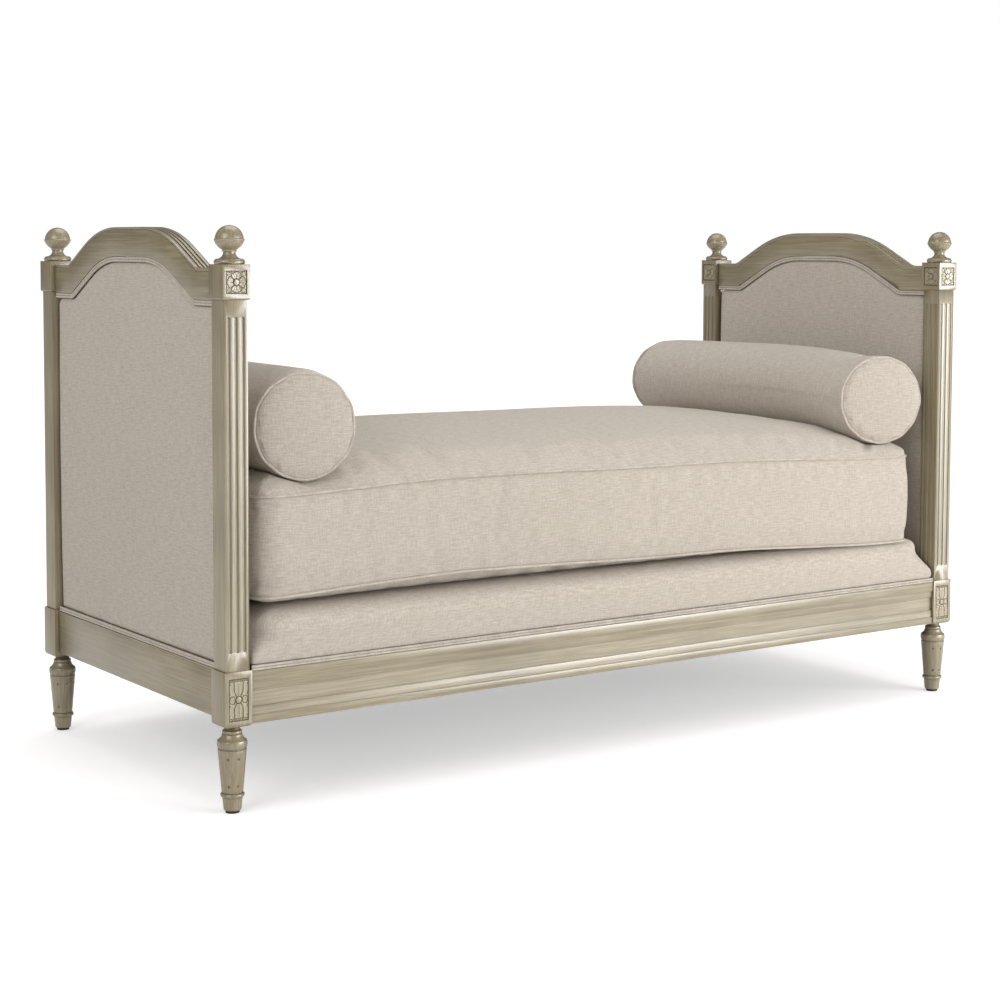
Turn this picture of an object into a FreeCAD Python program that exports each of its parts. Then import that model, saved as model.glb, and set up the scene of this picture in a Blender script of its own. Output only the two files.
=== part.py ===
import FreeCAD, Part
import math
import os
import re
import types
import Sketcher
from FreeCAD import Placement, Rotation, Vector

# Recamier with two equal arched ends. Millimetres, +Z up, +X along the length, front at -Y.
# The origin is on the floor, under the middle of the frame.

SIZES = {
    # overall: from post axis to post axis
    "post_spacing_length": 2000,
    "post_spacing_depth": 851,
    # posts
    "block_width": 60,
    "shaft_width": 52,
    "lower_block_bottom": 176,
    "lower_block_height": 112,
    "upper_block_bottom": 1023,
    "upper_block_height": 69.5,
    "lower_block_round": 8,
    "upper_block_round": 3.5,
    "upper_recess_size": 46,
    "lower_recess_width": 43,
    "lower_recess_height": 85,
    "recess_depth": 3,
    "boss_radius": 6,
    "boss_height": 2.5,
    "flute_radius": 3.6,
    "flute_outset": 0.8,
    "flute_pitch": 15.8,
    "flute_count": 3,
    "flute_top_gap": 36.5,
    "flute_bottom_gap": 41,
    # dowels and tenons
    "finial_dowel_radius": 8,
    "finial_dowel_length": 21,
    "foot_dowel_radius": 10,
    "foot_dowel_length": 24,
    "dowel_clearance": 0.2,
    "dowel_end_gap": 1,
    "tenon_thickness": 12,
    "tenon_shoulder": 14,
    "tenon_length": 22,
    "tenon_clearance": 0.2,
    # finials, measured up from the top of the post
    "finial_flange_radius": 29,
    "finial_flange_height": 9,
    "finial_flange_curve": 6.8,
    "finial_bell_radius": 26,
    "finial_bell_bottom": 11,
    "finial_bell_curve": 13,
    "finial_neck_radius": 12.3,
    "finial_neck_height": 22,
    "finial_collar_radius": 14.6,
    "finial_collar_bottom": 25,
    "finial_ball_bottom": 29,
    "finial_ball_curve": 34,
    "finial_ball_radius": 29.6,
    "finial_ridge_radius": 30.8,
    "finial_ridge_height": 48.5,
    "finial_ridge_half": 2,
    "finial_dome_radius": 28.4,
    "finial_height": 77,
    # feet, measured up from the floor
    "glide_radius": 14,
    "glide_height": 5,
    "foot_toe_radius": 18,
    "foot_toe_round": 3,
    "foot_heel_radius": 20.5,
    "foot_bead_bottom": 32,
    "foot_bead_height": 9,
    "foot_bead_curve": 4.55,
    "foot_ankle_radius": 21.6,
    "foot_ankle_rise": 2,
    "foot_top_radius": 29,
    "foot_groove_bottom": 129,
    "foot_groove_top": 133,
    "foot_groove_depth": 1.8,
    "foot_groove_slant": 1,
    "foot_band_radius": 29.4,
    "foot_band_top": 147,
    "foot_band_curve": 25,
    "foot_cove_radius": 20.4,
    "foot_cove_top": 159,
    "foot_cove_curve": 18,
    "foot_flange_radius": 18.6,
    "foot_flange_bottom": 160,
    "foot_flange_top": 167,
    "foot_flange_curve": 5,
    "foot_neck_radius": 15.5,
    "foot_neck_bottom": 168,
    "foot_flute_radius": 3,
    "foot_flute_outset": 0.6,
    "foot_flute_bottom": 56,
    "foot_flute_length": 56,
    "foot_flute_count": 8,
    # rails
    "rail_top": 285,
    "rail_thickness": 28,
    "front_rail_bottom": 179.5,
    "front_rail_setback": 3,
    "end_rail_bottom": 188,
    "end_rail_setback": 10,
    "band_bottom": 16.5,
    "band_height": 66,
    "band_step": 3,
    "field_bottom": 34,
    "field_height": 32,
    "field_step": 3,
    # crest rails, and the arch that the panels share
    "crest_thickness": 40,
    "crest_width": 62.5,
    "crest_bottom": 1021,
    "arch_shoulder": 90.5,
    "arch_rise": 84.5,
    "arch_slope": 27,
    "arch_radius": 300,
    "crest_corner_radius": 36,
    "reed_groove_width": 3.5,
    "reed_groove_depth": 2.5,
    "reed_pitch": 9.5,
    "reed_groove_count": 3,
    "quirk_width": 1.6,
    "quirk_depth": 1.2,
    "inner_quirk_drop": 11,
    "outer_quirk_drop": 6,
    "bevel_height": 12,
    "bevel_depth": 4,
    # end panels
    "board_thickness": 8,
    "board_gap": 0.5,
    "panel_side_gap": 2.5,
    "panel_corner": 46,
    "outer_pad_edge": 4,
    "outer_pad_crown": 5,
    "inner_pad_edge": 5,
    "inner_pad_crown": 13,
    "panel_cover_thickness": 1.5,
    "soft_gap": 0.3,
    "filling_gap": 0.8,
    "welt_width": 11,
    "welt_depth": 10,
    # what carries the deck
    "slat_thickness": 15,
    "slat_width": 64,
    "slat_count": 14,
    "slat_end_gap": 2,
    "first_slat_inset": 44,
    "cleat_size": 25,
    "cleat_end_gap": 0.5,
    "beam_width": 40,
    "beam_height": 48,
    "corner_block_height": 44,
    "corner_block_drop": 45,
    "corner_block_reach": 75,
    "corner_screw_inset": 37,
    "corner_screw_hold": 10,
    "corner_screw_length": 48,
    "screw_radius": 2.2,
    "screw_head_radius": 4.5,
    "screw_head_height": 3,
    "cleat_screw_count": 6,
    "cleat_screw_hold": 15,
    "cleat_screw_inset": 110,
    "dust_cover_thickness": 1.2,
    "dust_cover_inset": 10,
    # deck
    "deck_rise": 117,
    "deck_end_gap": 2,
    "deck_overhang": 1,
    "deck_fold": 3,
    "deck_base_corner": 6,
    "deck_corner": 105,
    "deck_shoulder_height": 42,
    "deck_shoulder_end": 88,
    "deck_shoulder_side": 58,
    "deck_belly_height": 24,
    "deck_cover_thickness": 2.5,
    # mattress
    "mattress_length": 1850,
    "mattress_depth": 870,
    "mattress_shift": -20,
    "mattress_corner": 45,
    "underside_crown": 18,
    "underside_draw": 100,
    "underside_belly_draw": 33,
    "boxing_height": 208,
    "boxing_bulge": 8,
    "mattress_crown": 104,
    "mattress_crown_end": 75,
    "mattress_crown_power": 2.4,
    "mattress_cover_thickness": 3,
    "piping_radius": 3.2,
    "piping_outset": 2,
    "zip_length": 1300,
    "zip_width": 20,
    "zip_thickness": 1.8,
    # bolsters
    "bolster_radius": 112,
    "bolster_draw": 4,
    "bolster_length": 810,
    "bolster_dome": 15,
    "bolster_inset": 180,
    "bolster_height": 763,
    "bolster_cover_thickness": 2.5,
    "bolster_clearance": 0.5,
}

doc = FreeCAD.newDocument("Recamier")
sheet = doc.addObject("Spreadsheet::Sheet", "Sizes")
for row, (alias, value) in enumerate(SIZES.items(), start=1):
    sheet.set(f"A{row}", alias)
    sheet.set(f"B{row}", str(value))
    sheet.setAlias(f"B{row}", alias)
doc.recompute()

# the same cells as plain numbers, for places and curves worked out here
size = types.SimpleNamespace(**{alias: float(sheet.get(alias)) for alias in SIZES})


def in_sheet(formula):
    """The formula with each size's name pointing at its cell."""
    return re.sub(r"[a-z_]+", lambda word: "Sizes." + word[0] if word[0] in SIZES else word[0], formula)


def bind(thing, **formulas):
    for name, formula in formulas.items():
        thing.setExpression(name.replace("__", "."), in_sheet(formula))


def place(thing, x="0", y="0", z="0"):
    thing.setExpression("Placement.Base.x", in_sheet(x))
    thing.setExpression("Placement.Base.y", in_sheet(y))
    thing.setExpression("Placement.Base.z", in_sheet(z))


sub_parts = {}


def keep(node, thing):
    thing.Label = node
    sub_parts[node] = thing
    return thing


def solid_feature(node, shape, middle=Vector()):
    """A sub-part whose shape is worked out here from the sheet's numbers."""
    feature = doc.addObject("Part::Feature", node)
    feature.Shape = shape
    feature.Placement = Placement(middle, Rotation())
    return keep(node, feature)


# Places that many pieces share

half_length = size.post_spacing_length / 2
half_depth = size.post_spacing_depth / 2
inner_half_depth = half_depth - size.block_width / 2
post_top = size.upper_block_bottom + size.upper_block_height
front_rail_face = half_depth + size.block_width / 2 - size.front_rail_setback
front_rail_back = front_rail_face - size.rail_thickness
end_rail_face = half_length + size.block_width / 2 - size.end_rail_setback
end_rail_back = end_rail_face - size.rail_thickness

ENDS = {"left": -1, "right": 1}
SIDES = {"front": -1, "back": 1}


# Sketches and features that the bodies share

def new_body(node, x="0", y="0", z="0"):
    body = doc.addObject("PartDesign::Body", node)
    place(body, x, y, z)
    return keep(node, body)


def origin_plane(body, role):
    return next(item for item in body.Origin.OriginFeatures if item.Role == role)


def new_sketch(body, name, role, x="0", y="0", z="0"):
    """A sketch on one of the body's origin planes, moved within it by x and y and off it by z."""
    sketch = body.newObject("Sketcher::SketchObject", name)
    sketch.AttachmentSupport = [(origin_plane(body, role), "")]
    sketch.MapMode = "FlatFace"
    sketch.setExpression("AttachmentOffset.Base.x", in_sheet(x))
    sketch.setExpression("AttachmentOffset.Base.y", in_sheet(y))
    sketch.setExpression("AttachmentOffset.Base.z", in_sheet(z))
    return sketch


def rectangle(sketch, width, height):
    """A rectangle round the sketch's origin."""
    corners = [Vector(-10, -10, 0), Vector(10, -10, 0), Vector(10, 10, 0), Vector(-10, 10, 0)]
    for start, end in zip(corners, corners[1:] + corners[:1]):
        sketch.addGeometry(Part.LineSegment(start, end), False)
    for line in range(4):
        sketch.addConstraint(Sketcher.Constraint("Coincident", line, 2, (line + 1) % 4, 1))
    sketch.addConstraint(Sketcher.Constraint("Horizontal", 0))
    sketch.addConstraint(Sketcher.Constraint("Horizontal", 2))
    sketch.addConstraint(Sketcher.Constraint("Vertical", 1))
    sketch.addConstraint(Sketcher.Constraint("Vertical", 3))
    sketch.addConstraint(Sketcher.Constraint("Symmetric", 0, 1, 2, 1, -1, 1))
    for name, line, formula in (("across", 0, width), ("upright", 1, height)):
        index = sketch.addConstraint(Sketcher.Constraint("Distance", line, 20))
        sketch.renameConstraint(index, name)
        sketch.setExpression(f"Constraints.{name}", in_sheet(formula))


def circle(sketch, radius):
    sketch.addGeometry(Part.Circle(Vector(0, 0, 0), Vector(0, 0, 1), 5), False)
    sketch.addConstraint(Sketcher.Constraint("Coincident", 0, 3, -1, 1))
    index = sketch.addConstraint(Sketcher.Constraint("Radius", 0, 5))
    sketch.renameConstraint(index, "radius")
    sketch.setExpression("Constraints.radius", in_sheet(radius))


def pad(body, name, sketch, length, reverse=False):
    feature = body.newObject("PartDesign::Pad", name)
    feature.Profile = sketch
    feature.Reversed = reverse
    bind(feature, Length=length)
    return feature


def pocket(body, name, sketch, length, reverse=False):
    feature = body.newObject("PartDesign::Pocket", name)
    feature.Profile = sketch
    feature.Reversed = reverse
    bind(feature, Length=length)
    return feature


def round_edges(body, name, radius, wanted):
    """Fillets on the edges of the body's tip that wanted() picks."""
    doc.recompute()
    base = body.Tip
    shape = base.Shape
    names = [f"Edge{number}" for number, edge in enumerate(shape.Edges, 1) if wanted(edge)]
    feature = body.newObject("PartDesign::Fillet", name)
    feature.Base = (base, names)
    bind(feature, Radius=radius)
    return feature


def side_plane(axis, sign):
    """The plane that faces along an axis, the side of it that the sign means, and if features run backwards."""
    if axis == "x":
        return "YZ_Plane", sign, sign < 0
    return "XZ_Plane", -sign, sign > 0


def total(formula):
    """The value of a sum or difference of sizes."""
    amounts = re.findall(r"([+-]?)\s*(\w+)", formula)
    return sum((-1 if sign == "-" else 1) * (getattr(size, word) if word in SIZES else float(word))
               for sign, word in amounts)


def arc_between(start, end, radius, outwards):
    """An arc of one radius, bowed to the right of the way it runs, or to the left."""
    chord = end - start
    half = chord.Length / 2
    rise = radius - math.sqrt(radius * radius - half * half)
    right = Vector(chord.y, -chord.x, 0).normalize()
    through = (start + end) / 2 + right * (rise if outwards else -rise)
    return Part.Arc(start, through, end)


def pin(sketch, line, point, direction, formula):
    """Holds a point at a distance from the sketch's origin, or on its axis where that is nothing."""
    if formula == "0":
        axis = -2 if direction == "DistanceX" else -1
        sketch.addConstraint(Sketcher.Constraint("PointOnObject", line, point, axis))
        return
    below = formula.startswith("-")
    ends = (line, point, -1, 1) if below else (-1, 1, line, point)
    index = sketch.addConstraint(Sketcher.Constraint(direction, *ends, abs(total(formula))))
    name = f"{direction.lower()}_{line}"
    sketch.renameConstraint(index, name)
    sketch.setExpression(f"Constraints.{name}", in_sheet(formula.lstrip("-") if below else formula))


def turned(body, name, profile):
    """A solid turned round the body's Z axis, from a closed profile of (radius, height, curve) points.

    The curve says how the profile goes on from a point: "" for a straight line, "out" or "in"
    and a size for an arc of that radius, or "round" for an arc centred on the axis.
    """
    sketch = new_sketch(body, name, "XZ_Plane")
    spots = [Vector(total(radius), total(height), 0) for radius, height, curve in profile]
    starts = []
    ends = []
    for index, (radius, height, curve) in enumerate(profile):
        start = spots[index]
        end = spots[(index + 1) % len(spots)]
        way, _, radius_name = curve.partition(" ")
        if way == "":
            sketch.addGeometry(Part.LineSegment(start, end), False)
        elif way == "round":
            reach = (start.x ** 2 + (end.y - start.y) ** 2) / (2 * (end.y - start.y))
            sketch.addGeometry(arc_between(start, end, reach, True), False)
        else:
            sketch.addGeometry(arc_between(start, end, total(radius_name), way == "out"), False)
        swapped = sketch.getPoint(index, 1).distanceToPoint(start) > sketch.getPoint(index, 2).distanceToPoint(start)
        starts.append(2 if swapped else 1)
        ends.append(1 if swapped else 2)
    for index, (radius, height, curve) in enumerate(profile):
        following = (index + 1) % len(profile)
        sketch.addConstraint(Sketcher.Constraint("Coincident", index, ends[index], following, starts[following]))
    for index, (radius, height, curve) in enumerate(profile):
        pin(sketch, index, starts[index], "DistanceX", radius)
        pin(sketch, index, starts[index], "DistanceY", height)
        if curve == "round":
            sketch.addConstraint(Sketcher.Constraint("PointOnObject", index, 3, -2))
        elif curve:
            radius_name = curve.split(" ")[1]
            constraint = sketch.addConstraint(Sketcher.Constraint("Radius", index, total(radius_name)))
            sketch.renameConstraint(constraint, f"curve_{index}")
            sketch.setExpression(f"Constraints.curve_{index}", in_sheet(radius_name))
    turning = body.newObject("PartDesign::Revolution", name + "_turned")
    turning.Profile = sketch
    turning.ReferenceAxis = (sketch, ["V_Axis"])
    turning.Angle = 360
    return turning


def cutter(body, kind, name, x, y, z):
    """A round cutter placed from the body's XY plane."""
    tool = body.newObject(f"PartDesign::Subtractive{kind}", name)
    tool.AttachmentSupport = [(origin_plane(body, "XY_Plane"), "")]
    tool.MapMode = "FlatFace"
    bind(tool, AttachmentOffset__Base__x=x, AttachmentOffset__Base__y=y, AttachmentOffset__Base__z=z)
    return tool


# Posts: a square shaft with a block at each end, fluted and carved on its outer and inward faces

def add_block(body, name, width, bottom, height):
    square = new_sketch(body, name, "XY_Plane", z=bottom)
    rectangle(square, width, width)
    pad(body, name + "_pad", square, height)


def bore(body, name, radius, level, length, upwards):
    hole = new_sketch(body, name, "XY_Plane", z=level)
    circle(hole, f"{radius} + dowel_clearance")
    pocket(body, name + "_bored", hole, f"{length} + dowel_end_gap", upwards)


def mortise(body, name, axis, sign, across, middle, height):
    plane, side, backwards = side_plane(axis, sign)
    hole = new_sketch(body, name, plane, x=across, y=middle, z=f"{side} * block_width / 2")
    rectangle(hole, "tenon_thickness + 2 * tenon_clearance", f"{height} - 2 * tenon_shoulder + 2 * tenon_clearance")
    pocket(body, name + "_cut", hole, "tenon_length + dowel_end_gap", backwards)


def carve_recess(body, name, axis, sign, width, height, middle):
    """A sunk panel with a boss in its middle, for the rosette."""
    plane, side, backwards = side_plane(axis, sign)
    recess = new_sketch(body, name, plane, y=middle, z=f"{side} * block_width / 2")
    rectangle(recess, width, height)
    pocket(body, name + "_sunk", recess, "recess_depth", backwards)
    boss = new_sketch(body, name + "_boss", plane, y=middle, z=f"{side} * (block_width / 2 - recess_depth)")
    circle(boss, "boss_radius")
    pad(body, name + "_boss_pad", boss, "boss_height", backwards)


def cut_flutes(body, name, axis, sign):
    """Hollow flutes with round ends, side by side along one face of the shaft."""
    out = f"{sign} * (shaft_width / 2 + flute_outset)"
    first = "-flute_pitch * (flute_count - 1) / 2"
    x, y = (out, first) if axis == "x" else (first, out)
    low = "lower_block_bottom + lower_block_height + flute_bottom_gap"
    high = "upper_block_bottom - flute_top_gap"
    flute = cutter(body, "Cylinder", name, x, y, low)
    bind(flute, Radius="flute_radius", Height=f"{high} - ({low})")
    low_end = cutter(body, "Sphere", name + "_low_end", x, y, low)
    bind(low_end, Radius="flute_radius")
    high_end = cutter(body, "Sphere", name + "_high_end", x, y, high)
    bind(high_end, Radius="flute_radius")
    row = body.newObject("PartDesign::LinearPattern", name + "_row")
    row.Originals = [flute, low_end, high_end]
    row.Direction = (origin_plane(body, "Y_Axis" if axis == "x" else "X_Axis"), [""])
    bind(row, Length="flute_pitch * (flute_count - 1)", Occurrences="flute_count")
    body.Tip = row


def is_level(edge, height):
    box = edge.BoundBox
    return abs(box.ZMin - height) < 0.01 and abs(box.ZMax - height) < 0.01


crest_middle = "crest_bottom + crest_width / 2"
front_rail_middle = "(front_rail_bottom + rail_top) / 2"
end_rail_middle = "(end_rail_bottom + rail_top) / 2"
lower_block_middle = "lower_block_bottom + lower_block_height / 2"
upper_block_middle = "upper_block_bottom + upper_block_height / 2"

for end, x_sign in ENDS.items():
    for side, y_sign in SIDES.items():
        post = new_body(f"{side}_{end}_post", f"{x_sign} * post_spacing_length / 2", f"{y_sign} * post_spacing_depth / 2")
        add_block(post, "lower_block", "block_width", "lower_block_bottom", "lower_block_height")
        round_edges(post, "lower_block_rounded", "lower_block_round",
                    lambda edge: is_level(edge, size.lower_block_bottom))
        shaft_bottom = "lower_block_bottom + lower_block_height"
        add_block(post, "shaft", "shaft_width", shaft_bottom, f"upper_block_bottom - ({shaft_bottom})")
        add_block(post, "upper_block", "block_width", "upper_block_bottom", "upper_block_height")
        round_edges(post, "upper_block_rounded", "upper_block_round",
                    lambda edge: is_level(edge, size.upper_block_bottom) and edge.Length > size.shaft_width + 1)
        for axis, sign in (("y", y_sign), ("x", -x_sign)):
            carve_recess(post, f"upper_recess_{axis}", axis, sign, "upper_recess_size", "upper_recess_size",
                         upper_block_middle)
            cut_flutes(post, f"flute_{axis}", axis, sign)
        carve_recess(post, "lower_recess", "y", y_sign, "lower_recess_width", "lower_recess_height", lower_block_middle)
        mortise(post, "front_rail_mortise", "x", -x_sign,
                f"{y_sign} * (block_width / 2 - front_rail_setback - rail_thickness / 2)",
                front_rail_middle, "(rail_top - front_rail_bottom)")
        mortise(post, "end_rail_mortise", "y", -y_sign,
                f"{x_sign} * (block_width / 2 - end_rail_setback - rail_thickness / 2)",
                end_rail_middle, "(rail_top - end_rail_bottom)")
        mortise(post, "crest_mortise", "y", -y_sign, "0", crest_middle, "crest_width")
        bore(post, "finial_bore", "finial_dowel_radius", "upper_block_bottom + upper_block_height",
             "finial_dowel_length", False)
        bore(post, "foot_bore", "foot_dowel_radius", "lower_block_bottom", "foot_dowel_length", True)


# Finials: a turned flange, bell, collar and ridged ball over a dowel

finial_profile = [
    ("0", "-finial_dowel_length", ""),
    ("finial_dowel_radius", "-finial_dowel_length", ""),
    ("finial_dowel_radius", "0", ""),
    ("finial_flange_radius", "0", "out finial_flange_curve"),
    ("finial_flange_radius", "finial_flange_height", ""),
    ("finial_bell_radius", "finial_bell_bottom", "in finial_bell_curve"),
    ("finial_neck_radius", "finial_neck_height", ""),
    ("finial_neck_radius", "finial_collar_bottom", ""),
    ("finial_collar_radius", "finial_collar_bottom", ""),
    ("finial_collar_radius", "finial_ball_bottom", "out finial_ball_curve"),
    ("finial_ball_radius", "finial_ridge_height - finial_ridge_half", ""),
    ("finial_ridge_radius", "finial_ridge_height", ""),
    ("finial_dome_radius", "finial_ridge_height + finial_ridge_half", "round"),
    ("0", "finial_height", ""),
]

# Feet: a tapered, fluted leg between a bead above the toe and a band and collar under the post

foot_profile = [
    ("0", "glide_height", ""),
    ("foot_toe_radius - foot_toe_round", "glide_height", "out foot_toe_round"),
    ("foot_toe_radius", "glide_height + foot_toe_round", ""),
    ("foot_heel_radius", "foot_bead_bottom", "out foot_bead_curve"),
    ("foot_heel_radius", "foot_bead_bottom + foot_bead_height", ""),
    ("foot_ankle_radius", "foot_bead_bottom + foot_bead_height + foot_ankle_rise", ""),
    ("foot_top_radius", "foot_groove_bottom", ""),
    ("foot_top_radius - foot_groove_depth", "foot_groove_bottom + foot_groove_slant", ""),
    ("foot_top_radius - foot_groove_depth", "foot_groove_top - foot_groove_slant", ""),
    ("foot_band_radius", "foot_groove_top", "out foot_band_curve"),
    ("foot_band_radius", "foot_band_top", "in foot_cove_curve"),
    ("foot_cove_radius", "foot_cove_top", ""),
    ("foot_flange_radius", "foot_flange_bottom", "out foot_flange_curve"),
    ("foot_flange_radius", "foot_flange_top", ""),
    ("foot_neck_radius", "foot_neck_bottom", ""),
    ("foot_neck_radius", "lower_block_bottom", ""),
    ("foot_dowel_radius", "lower_block_bottom", ""),
    ("foot_dowel_radius", "lower_block_bottom + foot_dowel_length", ""),
    ("0", "lower_block_bottom + foot_dowel_length", ""),
]


def cut_foot_flutes(foot):
    """Hollow flutes that follow the taper, evenly round the foot."""
    ankle = "(foot_bead_bottom + foot_bead_height + foot_ankle_rise)"
    slope = f"((foot_top_radius - foot_ankle_radius) / (foot_groove_bottom - {ankle}))"
    out = f"foot_ankle_radius + (foot_flute_bottom - {ankle}) * {slope} + foot_flute_outset"
    lean = f"atan({slope})"
    flute = cutter(foot, "Cylinder", "foot_flute", out, "0", "foot_flute_bottom")
    flute.AttachmentOffset = Placement(Vector(), Rotation(Vector(0, 1, 0), 1))
    bind(flute, Radius="foot_flute_radius", Height="foot_flute_length", AttachmentOffset__Rotation__Angle=lean)
    low_end = cutter(foot, "Sphere", "foot_flute_low_end", out, "0", "foot_flute_bottom")
    bind(low_end, Radius="foot_flute_radius")
    high_end = cutter(foot, "Sphere", "foot_flute_high_end", f"{out} + foot_flute_length * sin({lean})", "0",
                      f"foot_flute_bottom + foot_flute_length * cos({lean})")
    bind(high_end, Radius="foot_flute_radius")
    ring = foot.newObject("PartDesign::PolarPattern", "foot_flutes")
    ring.Originals = [flute, low_end, high_end]
    ring.Axis = (origin_plane(foot, "Z_Axis"), [""])
    ring.Angle = 360
    bind(ring, Occurrences="foot_flute_count")
    foot.Tip = ring


def bound_box(name, length, width, height, x, y, z):
    """A box from its lowest corner."""
    block = doc.addObject("Part::Box", name)
    bind(block, Length=length, Width=width, Height=height)
    place(block, x, y, z)
    return block


def bound_cylinder(name, radius, height, x, y, z):
    rod = doc.addObject("Part::Cylinder", name)
    bind(rod, Radius=radius, Height=height)
    place(rod, x, y, z)
    return rod


def together(node, pieces):
    """Separate like pieces kept as one sub-part."""
    group = doc.addObject("Part::Compound", node)
    group.Links = pieces
    return keep(node, group)


glides = []
for end, x_sign in ENDS.items():
    for side, y_sign in SIDES.items():
        x = f"{x_sign} * post_spacing_length / 2"
        y = f"{y_sign} * post_spacing_depth / 2"
        finial = new_body(f"{side}_{end}_finial", x, y, "upper_block_bottom + upper_block_height")
        turned(finial, "finial_profile", finial_profile)
        foot = new_body(f"{side}_{end}_foot", x, y)
        turned(foot, "foot_profile", foot_profile)
        cut_foot_flutes(foot)
        glides.append(bound_cylinder(f"{side}_{end}_glide", "glide_radius", "glide_height", x, y, "0"))
together("foot_glides", glides)


# Rails with a tenon at each end

def rail(node, run, length, height, x, y, z):
    """A rail along one axis, round its own middle."""
    body = new_body(node, x, y, z)
    across = "YZ_Plane" if run == "x" else "XZ_Plane"
    board = new_sketch(body, "board", across, z=f"-({length}) / 2")
    rectangle(board, "rail_thickness", height)
    pad(body, "board_pad", board, length)
    tenon = new_sketch(body, "tenon", across, z=f"-({length}) / 2 - tenon_length")
    rectangle(tenon, "tenon_thickness", f"{height} - 2 * tenon_shoulder")
    pad(body, "tenon_pad", tenon, f"{length} + 2 * tenon_length")
    return body


long_rail_length = "(post_spacing_length - block_width)"
long_rail_height = "(rail_top - front_rail_bottom)"
for side, y_sign in SIDES.items():
    body = rail(f"{side}_rail", "x", long_rail_length, long_rail_height, "0",
                f"{y_sign} * (post_spacing_depth / 2 + block_width / 2 - front_rail_setback - rail_thickness / 2)",
                front_rail_middle)
    plane, outer_side, backwards = side_plane("y", y_sign)
    steps = (("band", "band_bottom", "band_height", "0", "band_step"),
             ("field", "field_bottom", "field_height", "band_step", "field_step"))
    for name, bottom, height, start, step in steps:
        sunk = new_sketch(body, name, plane, y=f"{bottom} + {height} / 2 - {long_rail_height} / 2",
                          z=f"{outer_side} * (rail_thickness / 2 - {start})")
        rectangle(sunk, long_rail_length, height)
        pocket(body, name + "_sunk", sunk, step, backwards)

for end, x_sign in ENDS.items():
    rail(f"{end}_end_rail", "y", "(post_spacing_depth - block_width)", "(rail_top - end_rail_bottom)",
         f"{x_sign} * (post_spacing_length / 2 + block_width / 2 - end_rail_setback - rail_thickness / 2)",
         "0", end_rail_middle)


# The arch: level at the posts, then a slope each side that turns into a wide curve and a level crown

slope_angle = math.radians(size.arch_slope)
arch_corner = inner_half_depth - size.arch_shoulder
curve_rise = size.arch_radius * (1 - math.cos(slope_angle))
slope_run = (size.arch_rise - curve_rise) / math.tan(slope_angle)
crown_half = arch_corner - slope_run - size.arch_radius * math.sin(slope_angle)
curve_centre = size.crest_bottom + size.arch_rise - size.arch_radius


def arch(lift, way=1, corner_radius=0):
    """The arch's points, lifted off the crest rails' underside, from +Y to -Y or the other way.

    A point is (y, z), or (y, z, y, z) for an arc through the first pair to the second.
    """
    level = size.crest_bottom + lift
    radius = size.arch_radius + lift
    corner = arch_corner + lift * math.tan(slope_angle / 2)
    cut = corner_radius * math.tan(slope_angle / 2)
    half = [(corner + cut, level)]
    if corner_radius:
        middle_y = corner + cut - corner_radius * math.sin(slope_angle / 2)
        middle_z = level + corner_radius * (1 - math.cos(slope_angle / 2))
        half.append((middle_y, middle_z, corner - cut * math.cos(slope_angle), level + cut * math.sin(slope_angle)))
    half.append((crown_half + radius * math.sin(slope_angle), curve_centre + radius * math.cos(slope_angle)))
    half.append((crown_half + radius * math.sin(slope_angle / 2), curve_centre + radius * math.cos(slope_angle / 2),
                 crown_half, curve_centre + radius))
    points = half + mirrored(half)
    return [tuple(value * way if index % 2 == 0 else value for index, value in enumerate(point)) for point in points]


def mirrored(points):
    """A run of points carried on, mirrored in Y, from its last point back to its first."""
    back = []
    for index in range(len(points) - 1, -1, -1):
        y, z = points[index][-2:]
        if index + 1 < len(points) and len(points[index + 1]) == 4:
            through_y, through_z = points[index + 1][:2]
            back.append((-through_y, through_z, -y, z))
        else:
            back.append((-y, z))
    return back


def outline(points, x):
    """A closed wire through points in the plane at x."""
    edges = []
    here = Vector(x, *points[0][-2:])
    for point in points[1:] + [points[0][-2:]]:
        there = Vector(x, *point[-2:])
        if len(point) == 4:
            edges.append(Part.Arc(here, Vector(x, *point[:2]), there).toShape())
        else:
            edges.append(Part.LineSegment(here, there).toShape())
        here = there
    return Part.Wire(edges)


def prism(points, x, depth):
    return Part.Face(outline(points, x)).extrude(Vector(depth, 0, 0))


def arch_band(low, high, reach=None, corner_radius=0):
    """The strip between two lifts of the arch, as far as reach each side, or only between its corners."""
    lower = arch(low)
    upper = arch(high, -1, corner_radius)
    if reach is None:
        return lower + upper
    low_level = size.crest_bottom + low
    high_level = size.crest_bottom + high
    return ([(reach, low_level)] + lower + [(-reach, low_level), (-reach, high_level)]
            + upper + [(reach, high_level)])


def for_both_ends(name, shape):
    """Keeps a shape made for the right end, and its mirror image for the left."""
    solid_feature(f"right_{name}", shape)
    solid_feature(f"left_{name}", shape.mirror(Vector(), Vector(1, 0, 0)))


# Crest rails: arched, reeded along the top of the arch, quirked and bevelled

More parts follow.
